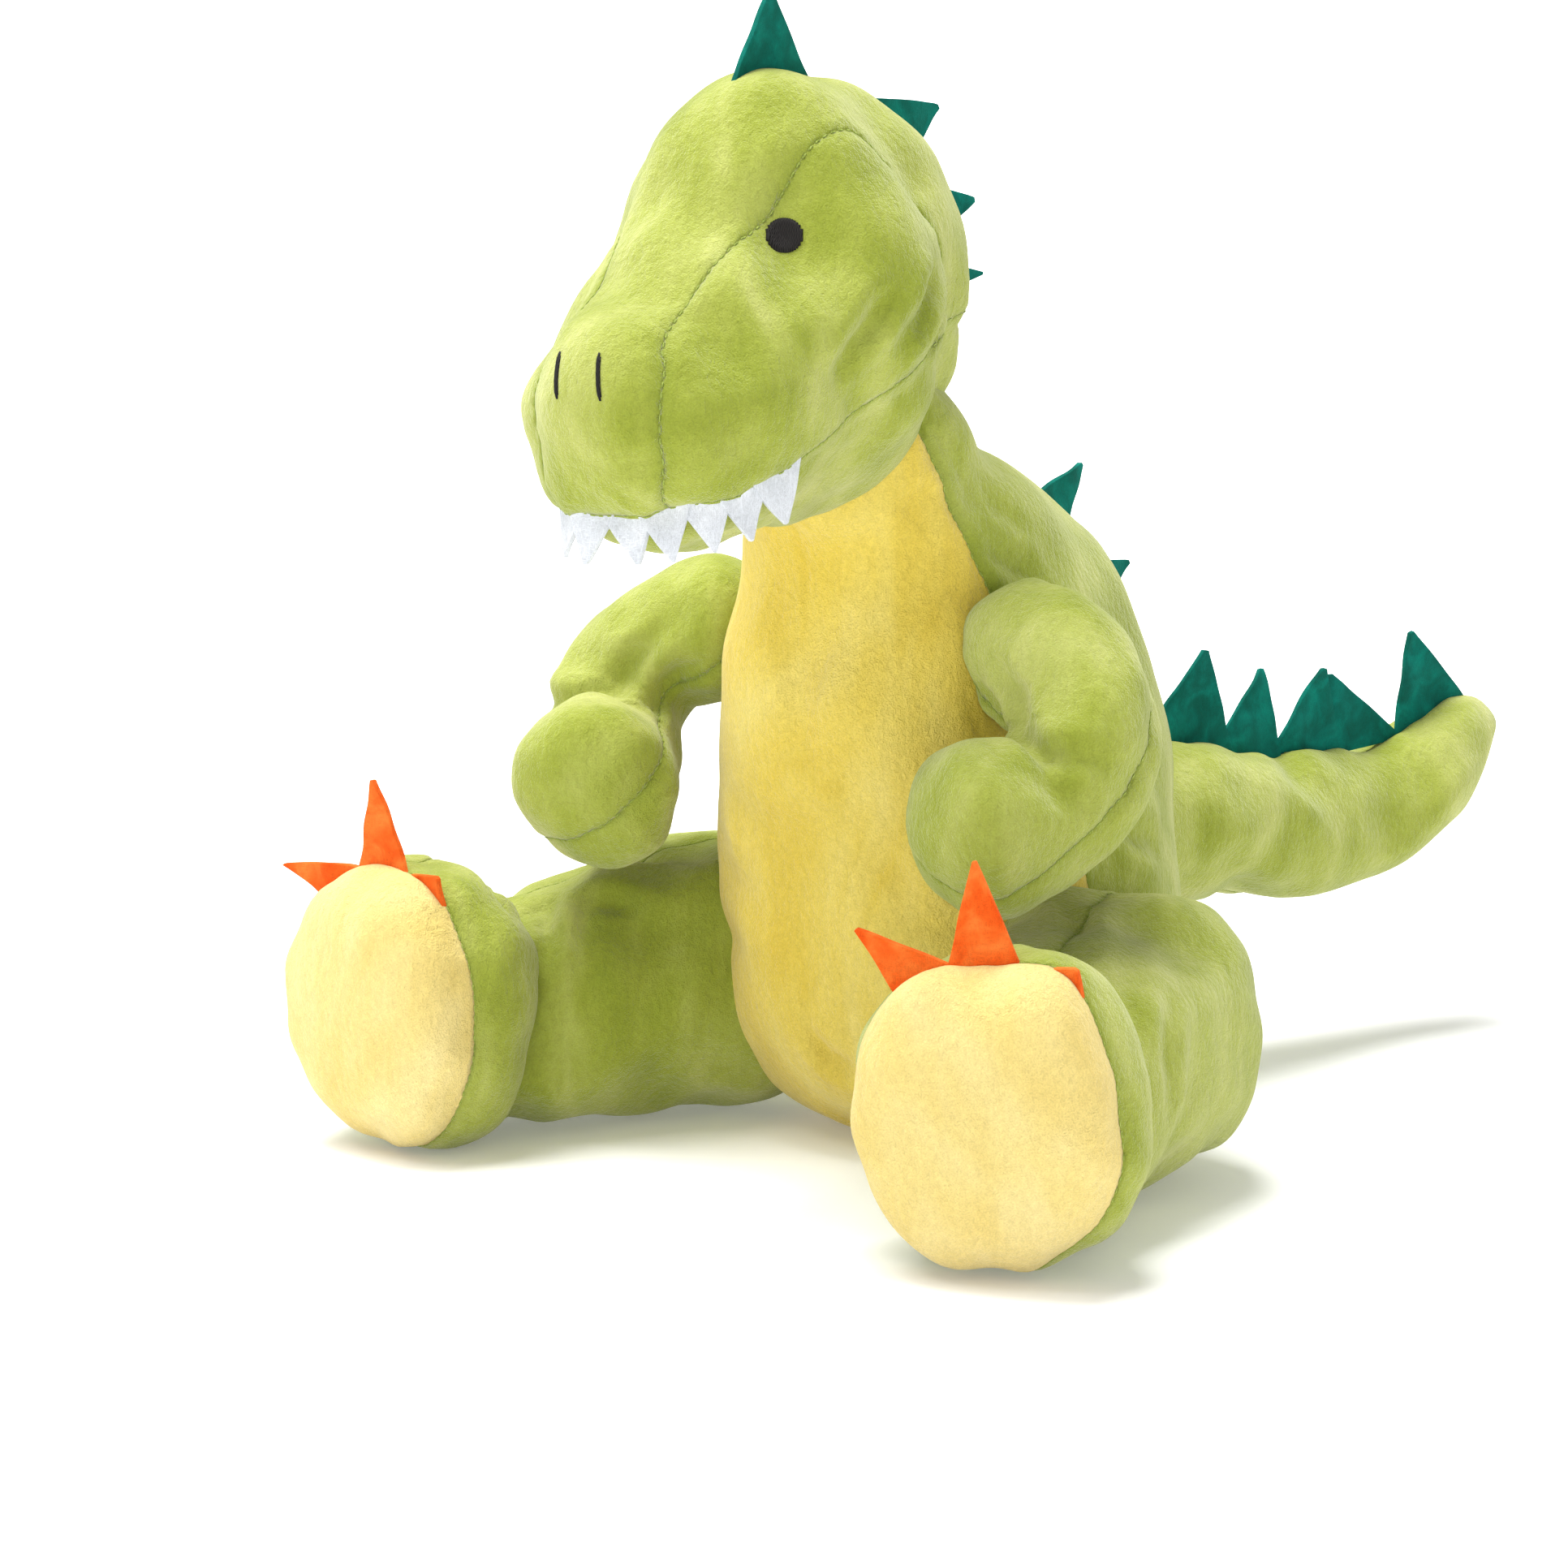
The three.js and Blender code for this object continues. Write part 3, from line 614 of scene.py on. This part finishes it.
def felt(name, dark, middle, light, sheen=0.25):
    """Pressed felt: a mat of short fibres running every way."""
    made = Shader(name)
    clouds = made.noise(made.place(), 110, 3, 0.6)
    fibres = made.noise(made.place((1, 1, 0.2)), 1500, 3, 2.2)
    across = made.noise(made.place((0.2, 1, 1)), 1500, 3, 2.2)
    mat = made.math("MAXIMUM", fibres, across)
    colour = made.ramp(clouds, [(0.3, dark), (0.5, middle), (0.7, light)])
    shade = made.ramp(mat, [(0.4, "#b0b0b0"), (0.68, "#ffffff")])
    colour = made.mix(0.65, colour, shade, "MULTIPLY")
    return made.done(colour, mat, 0.5, 0.0007, 0.97, sheen, light, 0.6)


def thread(name, colour, light):
    """Sewing thread: a fine twist, a little gloss."""
    made = Shader(name)
    twist = made.add("TexWave", {"Vector": made.place(), "Scale": 900.0, "Distortion": 1.2})
    shade = made.ramp(twist.outputs["Fac"], [(0.2, colour), (0.8, light)])
    return made.done(shade, twist.outputs["Fac"], 0.4, 0.0003, 0.6, 0.1, light)


def fibre(name):
    """Loose polyester fibre."""
    made = Shader(name)
    fluff = made.noise(made.place(), 400, 5, 1.5)
    colour = made.ramp(fluff, [(0.3, "#dcdcd4"), (0.7, "#fafaf6")])
    return made.done(colour, fluff, 0.8, 0.002, 1.0, 0.3)


# The fifth colour of each plush is the painted shade in its seam grooves.
GREEN = plush("green_plush", "#8b9830", "#a2ad40", "#c6ca78", "#78862e", "#fbf9e4", 0.45)
YELLOW = plush("yellow_plush", "#dfc24a", "#e9d05a", "#f2df80", "#d0b548", "#fffbe6", 0.4)
CREAM = plush("cream_plush", "#e3c973", "#ebd484", "#f3e09e", "#d6bd70", "#fffbe0", 0.3)
SPINE_FELT = felt("spine_felt", "#014f43", "#016356", "#04796a")
CLAW_FELT = felt("claw_felt", "#e04a08", "#f0611a", "#fb8338")
TOOTH_FELT = felt("tooth_felt", "#d2d6dc", "#dce0e6", "#e6e9ee", 0.1)
THREAD_GREEN = thread("green_thread", "#7c8c38", "#a2b058")
FLOSS = thread("black_floss", "#0c0b0b", "#2c2927")
FIBRE = fibre("stuffing_fibre")


# ---- Forms ---------------------------------------------------------------------------------------
TORSO = {
    "across": [1, 0, 0],
    "caps": (54, 38),
    "floor": True,
    "grow": ((0, 0, 0), (0, -3, 0)),
    "stations": [
        (0, -15, 50, 69, 57, 98),
        (0, -18, 72, 70, 57, 101),
        (0, -25, 106, 66, 53, 108),
        (0, -38, 150, 56, 45, 99),
        (0, -47, 186, 45, 35, 66),
        (0, -54, 210, 38, 38, 38),
    ],
}
HEAD = {
    "across": [-1, 0, 0],
    "caps": (31, 20),
    "fullness": 0.8,
    "grow": ((-1.5, -0.5, -13), (1.5, 0, 0)),
    "stations": [
        (0, -60, 272, 37, 51, 46),
        (0, -88, 262, 52, 64, 54),
        (0, -118, 249, 44, 44, 51),
        (0, -143, 237, 39, 34, 43),
        (0, -159, 231, 35, 31, 37),
    ],
}
TAIL_ALONG = np.array([math.sin(TAIL_BEND), math.cos(TAIL_BEND), 0])
TAIL_ACROSS = np.cross(TAIL_ALONG, [0, 0, 1])
TAIL = {
    "across": TAIL_ACROSS,
    "caps": (35, 9),
    "stations": [
        (*(TAIL_JOINT + TAIL_ALONG * along)[:2], z, r, r, r)
        for along, z, r in (
            (0, 80, 35),
            (18, 81, 30.5),
            (36, 83, 30.5),
            (62, 80, 27),
            (90, 77.5, 24.5),
            (130, 79, 22.5),
            (155, 87, 21),
            (174, 98, 17),
            (186, 105, 12),
        )
    ],
}


def arm_form(side):
    stations = [
        (59, -46, 157, 22, 22, 22),
        (80, -52, 148, 22, 22, 22),
        (88, -60, 132, 22, 21, 22),
        (82, -74, 116, 23, 22, 23),
        (72, -92, 110.5, 27.5, 25, 26),
    ]
    return {
        "across": unit([-0.23 * side, 0.71, -0.67]),
        "caps": (21, 17),
        "grow": ((-1.5, -1.5, -1.5), (1.5, 1.5, 1.5)),
        "stations": [(side * x, *rest) for x, *rest in stations],
    }


def leg_lines(word):
    """The hip, the ways in which the thigh and the foot point, and a function that gives places along."""
    side = SIDES[word]
    ways = [
        np.array([side * math.sin(angle), -math.cos(angle), 0])
        for angle in (LEG_SPLAY[word], LEG_SPLAY[word] - FOOT_TURN[word])
    ]
    hip = HIP * [side, 1, 1]

    def at(along):
        return hip + ways[0] * min(along, ANKLE_AT) + ways[1] * max(along - ANKLE_AT, 0)

    return hip, ways[0], ways[1], at


def leg_form(word):
    _, ahead, _, at = leg_lines(word)
    stations = [
        (0, 45, 43.5, 43.5, 43.5),
        (35, 43, 35.5, 40, 42),
        (62, 40, 33, 34, 39),
        (82, 40, 31, 31, 39),
        (104, 43, 40, 43, 42),
        (119, 44, 36.5, 44, 41),
        (130, 44, 33, 42, 38),
    ]
    return {
        "across": np.cross(ahead, [0, 0, 1]),
        "grow": ((-2.5, 0, 0), (2.5, 0, 0)),
        "squareness": 0.82,
        "fullness": 0.86,
        "caps": (43.5, 9),
        "stations": [(*at(along)[:2], z, *half) for along, z, *half in stations],
    }


# Seam lines. The belly's and the lip's are seen from the side, as (y, z); the crown's half-width is
# seen from above, as (x, y).
BELLY_LINE = curve_through(
    [(-72, 260), (-66, 226), (-58, 196), (-48, 168), (-36, 130), (-26, 92), (-17, 60), (0, 22), (13, 6), (40, -20)],
    60,
)
LIP_LINE = curve_through(
    [(0, 266), (-60, 252), (-92, 240), (-122, 222), (-150, 207), (-172, 200), (-215, 195)],
    50,
)
CROWN_LINE = curve_through(
    [(34, -230), (26, -178), (20, -168), (17.5, -155), (20, -140), (27.5, -125), (31, -110), (33, -95), (38, -80),
     (41, -60), (42, -10)],
    80,
)


def belly_field(points):
    return side_of(points[:, 1:], BELLY_LINE)


def lip_field(points):
    return side_of(points[:, 1:], LIP_LINE)


def crown_field(points):
    folded = np.stack([np.abs(points[:, 0]), points[:, 1]], 1)
    return side_of(folded, CROWN_LINE)


def plane_field(origin, normal):
    return lambda points: (points - origin) @ np.asarray(normal, float)


def swell(points, normals, centre, reach, height):
    """A round bulge, or with a negative height a dimple."""
    near = np.exp(-((np.linalg.norm(points - centre, axis=1) / reach) ** 2))
    return normals * (height * near)[:, None]


def creases(points, normals, folds):
    """Folds along paths on the surface: valleys between two soft ridges, fading out at their ends.
    folds is a list of (path, width, depth)."""
    moved = np.zeros_like(points)
    for path, width, depth in folds:
        on = [points[np.linalg.norm(points - place, axis=1).argmin()] for place in curve_through(path, 9)]
        distance, share = near_line(points, curve_through(on, 30))
        fade = np.sin(np.clip(share, 0.001, 0.999) * math.pi) ** 0.6
        valley = np.exp(-((distance / width) ** 2))
        ridges = 0.55 * np.exp(-(((distance - 2.1 * width) / (1.1 * width)) ** 2))
        moved += normals * (depth * fade * (ridges - valley))[:, None]
    return moved


# ---- The sewn parts ------------------------------------------------------------------------------
def make_torso():
    def label(centres):
        front = belly_field(centres) < 0
        return np.where(front, 0, np.where(centres[:, 0] > 0, 1, 2))

    folds = [
        ([(-14, -112, 30), (0, -108, 18), (16, -110, 14)], 3.2, 2.6),
        ([(24, -104, 34), (34, -92, 22), (44, -80, 18)], 3.0, 2.0),
    ]
    for side in (LEFT, RIGHT):
        folds += [
            ([(side * 66, -14, 112), (side * 68, 2, 100), (side * 66, 18, 92)], 4.0, 2.4),
            ([(side * 60, -22, 128), (side * 60, 0, 124), (side * 52, 20, 114)], 4.0, 1.8),
            ([(side * 40, -50, 186), (side * 46, -38, 180), (side * 44, -22, 172)], 3.4, 1.8),
        ]

    def sculpt(points, normals):
        moved = normals * (0.7 * lumps(points, 60, 3) + 0.35 * lumps(points, 28, 4))[:, None]
        return moved + creases(points, normals, folds)

    return sewn(
        "torso", "torso", TORSO,
        [belly_field, plane_field((0, 0, 0), (1, 0, 0))],
        label,
        [("belly_panel", YELLOW), ("body_left_panel", GREEN), ("body_right_panel", GREEN)],
        sculpt,
    )


def make_head():
    folds = []
    for side in (LEFT, RIGHT):
        folds += [
            ([(side * 50, -80, 270), (side * 50, -92, 259), (side * 47, -104, 246)], 3.4, 3.8),
            ([(side * 46, -104, 262), (side * 43, -114, 252), (side * 40, -124, 239)], 3.0, 3.2),
            ([(side * 48, -62, 262), (side * 50, -74, 252), (side * 50, -84, 244)], 3.0, 2.6),
        ]

    def label(centres):
        above = lip_field(centres) < 0
        top = crown_field(centres) > 0
        cheek = np.where(centres[:, 0] > 0, 1, 2)
        return np.where(above, np.where(top, 0, cheek), 3)

    def sculpt(points, normals):
        moved = normals * (0.8 * lumps(points, 55, 6) + 0.4 * lumps(points, 24, 7))[:, None]
        for side in (LEFT, RIGHT):
            moved = moved + swell(points, normals, np.array([side * 33, -131, 279]), 10, -3.4)
        below = lip_field(points) > 0
        inset = np.clip(lip_field(points) / 5, 0, 1) * 2.5
        moved = moved - normals * np.where(below, inset, 0)[:, None]
        return moved + creases(points, normals, folds)

    return sewn(
        "head", "head", HEAD,
        [lip_field, crown_field],
        label,
        [
            ("head_top_panel", GREEN),
            ("head_left_panel", GREEN),
            ("head_right_panel", GREEN),
            ("head_chin_panel", GREEN),
        ],
        sculpt,
    )


def make_tail():
    def sculpt(points, normals):
        return normals * (0.7 * lumps(points, 45, 9) + 0.4 * lumps(points, 20, 10))[:, None]

    seam = plane_field(TAIL_JOINT, TAIL_ACROSS)
    return sewn(
        "tail", "tail", TAIL, [seam],
        lambda centres: (seam(centres) < 0).astype(int),
        [("tail_left_panel", GREEN), ("tail_right_panel", GREEN)],
        sculpt,
        joint=(TAIL_JOINT, TAIL_JOINT + TAIL_ALONG * 30),
    )


def make_arm(word, side):
    form = arm_form(side)
    shoulder = SHOULDER * [side, 1, 1]
    seam = plane_field((side * 80, -64, 134), -form["across"])
    folds = [
        ([(side * 100, -72, 130), (side * 88, -82, 134), (side * 72, -74, 138)], 3.2, 3.0),
        ([(side * 62, -66, 158), (side * 72, -74, 148), (side * 78, -76, 140)], 3.0, 2.2),
        ([(side * 50, -66, 150), (side * 58, -72, 140), (side * 66, -74, 134)], 3.0, 2.2),
    ]

    def sculpt(points, normals):
        moved = normals * (0.6 * lumps(points, 34, 11) + 0.3 * lumps(points, 16, 12))[:, None]
        return moved + creases(points, normals, folds)

    return sewn(
        f"arm_{word}", f"arm_{word}", form, [seam],
        lambda centres: (seam(centres) < 0).astype(int),
        [(f"arm_{word}_outer_panel", GREEN), (f"arm_{word}_inner_panel", GREEN)],
        sculpt,
        joint=(shoulder, shoulder + np.array([side * 21, -6, -9])),
    )


def make_leg(word, side):
    hip, ahead, foot, at = leg_lines(word)
    form = leg_form(word)
    sole = plane_field(at(SOLE_AT), foot)
    spine = np.array([hip - ahead * 80, at(ANKLE_AT), at(200)])[:, :2]
    inner = form["across"] * side

    def middle(points):
        return -side * side_of(points[:, :2], spine)

    folds = [
        (
            [
                at(86) + inner * 30 + UP * 20,
                at(82) + inner * 16 + UP * 45,
                at(84) + UP * 50,
                at(86) - inner * 25 + UP * 30,
            ],
            3.2,
            3.4,
        ),
        ([at(70) + inner * 32 + UP * 5, at(68) + inner * 28 + UP * 28, at(72) + inner * 12 + UP * 46], 3.0, 2.4),
        ([at(40) + inner * 36 + UP * 30, at(52) + inner * 28 + UP * 34, at(60) + inner * 30 + UP * 12], 3.4, 2.2),
        ([at(50) - inner * 36 + UP * 26, at(60) - inner * 34 + UP * 8, at(64) - inner * 34 - UP * 12], 3.4, 2.2),
        ([at(20) + inner * 10 + UP * 60, at(34) + inner * 2 + UP * 60, at(48) - inner * 6 + UP * 50], 3.6, 1.6),
    ]

    def sculpt(points, normals):
        moved = normals * (0.7 * lumps(points, 42, 13) + 0.4 * lumps(points, 19, 14))[:, None]
        return moved + creases(points, normals, folds)

    def label(centres):
        return np.where(sole(centres) > 0, 2, np.where(middle(centres) > 0, 0, 1))

    return sewn(
        f"leg_{word}", f"leg_{word}", form, [sole, middle],
        label,
        [(f"leg_{word}_inner_panel", GREEN), (f"leg_{word}_outer_panel", GREEN), (f"leg_{word}_sole", CREAM)],
        sculpt,
        joint=(hip + ahead * 8, hip + ahead * 42),
    )


# ---- Felt ----------------------------------------------------------------------------------------
def node_points(node):
    """A CAD node's vertices, in millimetres."""
    return np.array([v.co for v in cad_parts[node].data.vertices], float) / MM


def largest_triangle(corners):
    """The three of some flat corners that make the largest triangle."""
    triples = [
        (np.linalg.norm(np.cross(b - a, c - a)), i, j, k)
        for i, a in enumerate(corners)
        for j, b in enumerate(corners[:i])
        for k, c in enumerate(corners[:j])
    ]
    return [corners[i] for i in max(triples)[1:]]


def fin(
    node, body, seam, material, bend=(0, 0, 0), widen=1.1, stretch=1.0, carry=0.0, hollow=0.1, thick=FELT_THICK
):
    """A felt triangle on the place of its CAD plate: feet in the seam, a tip that bends, soft cut edges.
    seam is the points of the fabric that the feet may stand on, and carry is how much of the feet's
    move to it the tip makes too."""
    corners = node_points(node)
    flat = np.linalg.svd(corners - corners.mean(0))[2][2]
    corners = np.unique((corners - flat * ((corners - corners.mean(0)) @ flat)[:, None]).round(1), axis=0)
    trio = largest_triangle(corners)
    away = [np.linalg.norm(seam - corner, axis=1).min() for corner in trio]
    tip = trio.pop(int(np.argmax(away)))
    middle = (trio[0] + trio[1]) / 2
    feet = [middle + (foot - middle) * widen for foot in trio]
    feet = [seam[np.linalg.norm(seam - foot, axis=1).argmin()] for foot in feet]
    moved = (feet[0] + feet[1]) / 2 - middle
    middle = middle + moved
    tip = middle + (tip + moved * carry - middle) * stretch
    feet = [foot - unit(tip - middle) * FELT_ROOT for foot in feet]
    middle = (feet[0] + feet[1]) / 2
    rows, cols = 16, 10
    grid = []
    for r in range(rows + 1):
        up = r / rows
        half = (feet[1] - feet[0]) / 2 * (1 - 0.95 * up ** (1 + hollow))
        for c in range(cols + 1):
            across = 2 * c / cols - 1
            grid.append(middle * (1 - up) + tip * up + half * across + np.asarray(bend, float) * up**1.4)
    grid = np.array(grid)
    grid += flat * (0.35 * lumps(grid, 14, len(node)))[:, None]
    faces = []
    for r in range(rows):
        for c in range(cols):
            a = r * (cols + 1) + c
            faces.append([a, a + 1, a + cols + 2, a + cols + 1])
    thing = placed(node + "_felt", grid, faces, material)
    solid = thing.modifiers.new("felt", "SOLIDIFY")
    solid.thickness = thick * MM
    solid.offset = 0
    edge = thing.modifiers.new("edge", "BEVEL")
    edge.width = FELT_EDGE * MM
    edge.segments = 2
    edge.limit_method = "ANGLE"
    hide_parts(node)
    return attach(thing, body)


def make_felts(torso, head, tail, legs):
    """Each argument is the fabric's points before and after sculpting."""
    crest = head[1][np.abs(head[0][:, 0]) < 1.2]
    for i in range(4):
        bend = (1.5, 3, -7) if i == 1 else (1.5, 0, 0)
        fin(f"head_spine_{i + 1}", "head", crest, SPINE_FELT, bend, widen=1.25, stretch=1.1 if i > 0 else 1.0)
    ridge = torso[1][(np.abs(torso[0][:, 0]) < 0.3) & (torso[0][:, 1] > 0)]
    for i in range(3):
        fin(f"back_spine_{i + 1}", "torso", ridge, SPINE_FELT, (-1.5, 0, 0), widen=1.2, stretch=1.15)
    off = (tail[0] - TAIL_JOINT) @ TAIL_ACROSS
    ridge = tail[1][(np.abs(off) < 0.3) & (tail[0][:, 2] > 84)]
    for i in range(5):
        curl = -TAIL_ALONG * 6 if i == 1 else np.zeros(3)
        fin(f"tail_spine_{i + 1}", "tail", ridge, SPINE_FELT, curl + [2.0 * (-1) ** i, 0, 0], widen=1.5)
    lip = head[1][np.abs(lip_field(head[0])) < 0.3]
    for i in range(10):
        fin(f"tooth_{i + 1}", "head", lip, TOOTH_FELT, widen=1.6, carry=1.0, hollow=0.15, thick=1.5)
    for word in SIDES:
        _, _, foot, at = leg_lines(word)
        rest, final = legs[word]
        rim = final[np.abs((rest - at(SOLE_AT)) @ foot) < 0.3]
        folded = "outer" if word == "left" else "inner"
        for which in ("inner", "middle", "outer"):
            bend, stretch = (foot * 1.2, 0.5) if which == folded else (foot * 1.5, 0.85)
            if (word, which) == ("right", "outer"):
                bend = bend + [-6, 0, -10]
            fin(f"claw_{word}_{which}", f"leg_{word}", rim, CLAW_FELT, bend, widen=1.2, stretch=stretch, carry=1.0)


# ---- Embroidery ----------------------------------------------------------------------------------
def on_surface(tree, point, direction):
    """The point where a line from far outside meets the surface, and the surface's direction there."""
    start = Vector(point + direction * 60)
    found = tree.ray_cast(start, Vector(-direction))
    return np.array(found[0]), np.array(found[1])


def embroidered(name, node, tree, centre, direction, outline, high, rows, lean=0.0):
    """Satin stitch: threads laid side by side over a small shape, a little proud of the fabric.
    outline gives the half-length of the thread at a share of the shape's width."""
    direction = unit(direction)
    middle, normal = on_surface(tree, centre, direction)
    up = unit(np.array([0, 0, 1]) - direction * direction[2])
    beside = np.cross(up, direction)
    verts, faces = [], []
    steps, sides = 14, 6
    for r in range(rows):
        share = (r + 0.5) / rows * 2 - 1
        half, offset, width = outline(share)
        first = len(verts)
        for s in range(steps + 1):
            along = 2 * s / steps - 1
            at = middle + beside * (offset - lean * half * along) + up * along * half
            hit, out = on_surface(tree, at, direction)
            crown = high * math.sqrt(max(1 - along**2, 0)) ** 0.5 * (1 - 0.35 * share**2)
            for k in range(sides):
                angle = 2 * math.pi * k / sides
                ring = beside * math.cos(angle) * width + out * math.sin(angle) * 0.45
                verts.append(hit + out * (crown - 0.1) + ring)
        for s in range(steps):
            for k in range(sides):
                a, b = first + s * sides + k, first + s * sides + (k + 1) % sides
                faces.append([a, b, b + sides, a + sides])
        faces.append([first + k for k in range(sides)][::-1])
        faces.append([first + steps * sides + k for k in range(sides)])
    thing = placed(name, np.array(verts), faces, FLOSS)
    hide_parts(node)
    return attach(thing, "head")


EYE_SHARE = 0.46  # an eye's radius, as a share of its CAD box's height
FACE_MIDDLE = np.array([0, -90, 272])  # the eyes look away from here


def make_face(points, faces):
    tree = BVHTree.FromPolygons([Vector(p) for p in points], faces)
    for word, side in SIDES.items():
        low, high = box_of(f"eye_{word}")
        centre = (low + high) / 2
        radius = EYE_SHARE * (high[2] - low[2])
        out = centre - FACE_MIDDLE

        def disc(share, radius=radius):
            return radius * math.sqrt(max(1 - share**2, 0.02)), share * radius, 0.62

        embroidered(f"eye_{word}_satin", f"eye_{word}", tree, centre, out, disc, 0.8, 15)
        low, high = box_of(f"nostril_{word}")
        centre = (low + high) / 2
        tall = (high[2] - low[2]) / 2

        def slit(share, tall=tall):
            return tall * (1 - 0.25 * abs(share)), share * 0.45, 0.4

        embroidered(f"nostril_{word}_satin", f"nostril_{word}", tree, centre, [0, -1, 0.1], slit, 0.35, 3, 0.25)


def make_neck():
    """The fibre that passes through the neck, inside the fabric."""
    up = np.array([0, -math.sin(NECK_LEAN), math.cos(NECK_LEAN)])
    form = {
        "across": [1, 0, 0],
        "caps": (6, 6),
        "stations": [(*(NECK_JOINT + up * t), 20, 20, 20) for t in (-20, -7, 7, 20)],
    }
    filling("neck_stuffing", "neck", form, 31, inset=4.0)


# ---- Stage ---------------------------------------------------------------------------------------
CAMERA_TURN = math.radians(38)
CAMERA_PITCH = math.radians(8.6)
CAMERA_FAR = 1.2
CAMERA_HIGH = 0.29
CAMERA_ASIDE = 0.055
LENS = 89.4
AMBIENT = 0.46


def make_stage():
    """A wide pale floor that turns up at its far edge. It glows as painted light: faintly near the toy, which lifts
    the shadows and lights the toy from below, and fully from 1.5 m out, standing in for a studio's lit paper.
    """
    around = 96
    rings = [(0.6, 0), (1.4, 0), (2.2, 0), (2.8, 0.04), (3.2, 0.16), (3.5, 0.4), (3.6, 0.9)]
    verts = [(0, 0, 0)]
    for reach, high in rings:
        for k in range(around):
            angle = 2 * math.pi * k / around
            verts.append((reach * math.cos(angle), reach * math.sin(angle), high))
    faces = [[0, 1 + k, 1 + (k + 1) % around] for k in range(around)]
    for r in range(len(rings) - 1):
        for k in range(around):
            a, b = 1 + r * around + k, 1 + r * around + (k + 1) % around
            faces.append([a, a + around, b + around, b])
    made = Shader("floor_paper")
    cloud = made.noise(made.place(), 3, 2)
    colour = made.ramp(cloud, [(0.3, "#f2f2f2"), (0.7, "#f6f6f6")])
    # Painted light: the floor's glow rises from faint near the toy to full further out.
    away = made.add("VectorMath", {0: made.place()}, operation="LENGTH").outputs["Value"]
    sockets = {"Value": away, "From Min": 0.4, "From Max": 1.5, "To Min": 0.15, "To Max": 1.0}
    made.put(made.surface, "Emission Strength", made.add("MapRange", sockets).outputs["Result"])
    made.put(made.surface, "Emission Color", (1, 1, 1, 1))
    material = made.done(colour, made.noise(made.place(), 900, 2), 0.05, 0.0005, 0.9)
    floor = placed("floor", np.array(verts) / MM, faces, material)


def add_light(name, place, size, power, target=(0, -0.03, 0.15)):
    data = bpy.data.lights.new(name, "AREA")
    data.shape = "DISK"
    data.size = size
    data.energy = power
    light = bpy.data.objects.new(name, data)
    light.location = place
    light.rotation_euler = (Vector(place) - Vector(target)).to_track_quat("Z", "Y").to_euler()
    bpy.context.scene.collection.objects.link(light)


def make_lights():
    add_light("key", (-0.6, -0.9, 2.1), 1.3, 22)
    add_light("crown", (-0.4, 0.0, 2.1), 1.3, 68)
    world = bpy.data.worlds.new("studio")
    world.use_nodes = True
    world.node_tree.nodes["Background"].inputs["Color"].default_value = (1, 1, 1, 1)
    world.node_tree.nodes["Background"].inputs["Strength"].default_value = AMBIENT
    bpy.context.scene.world = world
    bpy.context.scene.view_settings.view_transform = "Standard"


def make_camera():
    c, s = math.cos(CAMERA_TURN), math.sin(CAMERA_TURN)
    right = Vector((c, s, 0))
    back = Vector((s * math.cos(CAMERA_PITCH), -c * math.cos(CAMERA_PITCH), math.sin(CAMERA_PITCH)))
    camera = bpy.data.objects.new("camera", bpy.data.cameras.new("camera"))
    camera.location = Vector((s * CAMERA_FAR, -c * CAMERA_FAR, CAMERA_HIGH)) - right * CAMERA_ASIDE
    camera.rotation_mode = "QUATERNION"
    camera.rotation_quaternion = back.to_track_quat("Z", "Y")
    camera.data.lens = LENS
    camera.data.sensor_width = 36
    bpy.context.scene.collection.objects.link(camera)
    bpy.context.scene.camera = camera


make_camera()
make_lights()
make_stage()
torso = make_torso()
head = make_head()
tail = make_tail()
filling("torso_stuffing", "torso", TORSO, 21)
filling("head_stuffing", "head", HEAD, 23)
filling("tail_stuffing", "tail", TAIL, 25)
make_neck()
legs = {}
for word, side in SIDES.items():
    make_arm(word, side)
    legs[word] = make_leg(word, side)[:2]
    filling(f"arm_{word}_stuffing", f"arm_{word}", arm_form(side), 27, inset=10.0)
    filling(f"leg_{word}_stuffing", f"leg_{word}", leg_form(word), 29)
make_felts(torso[:2], head[:2], tail[:2], legs)
make_face(head[1], head[2])
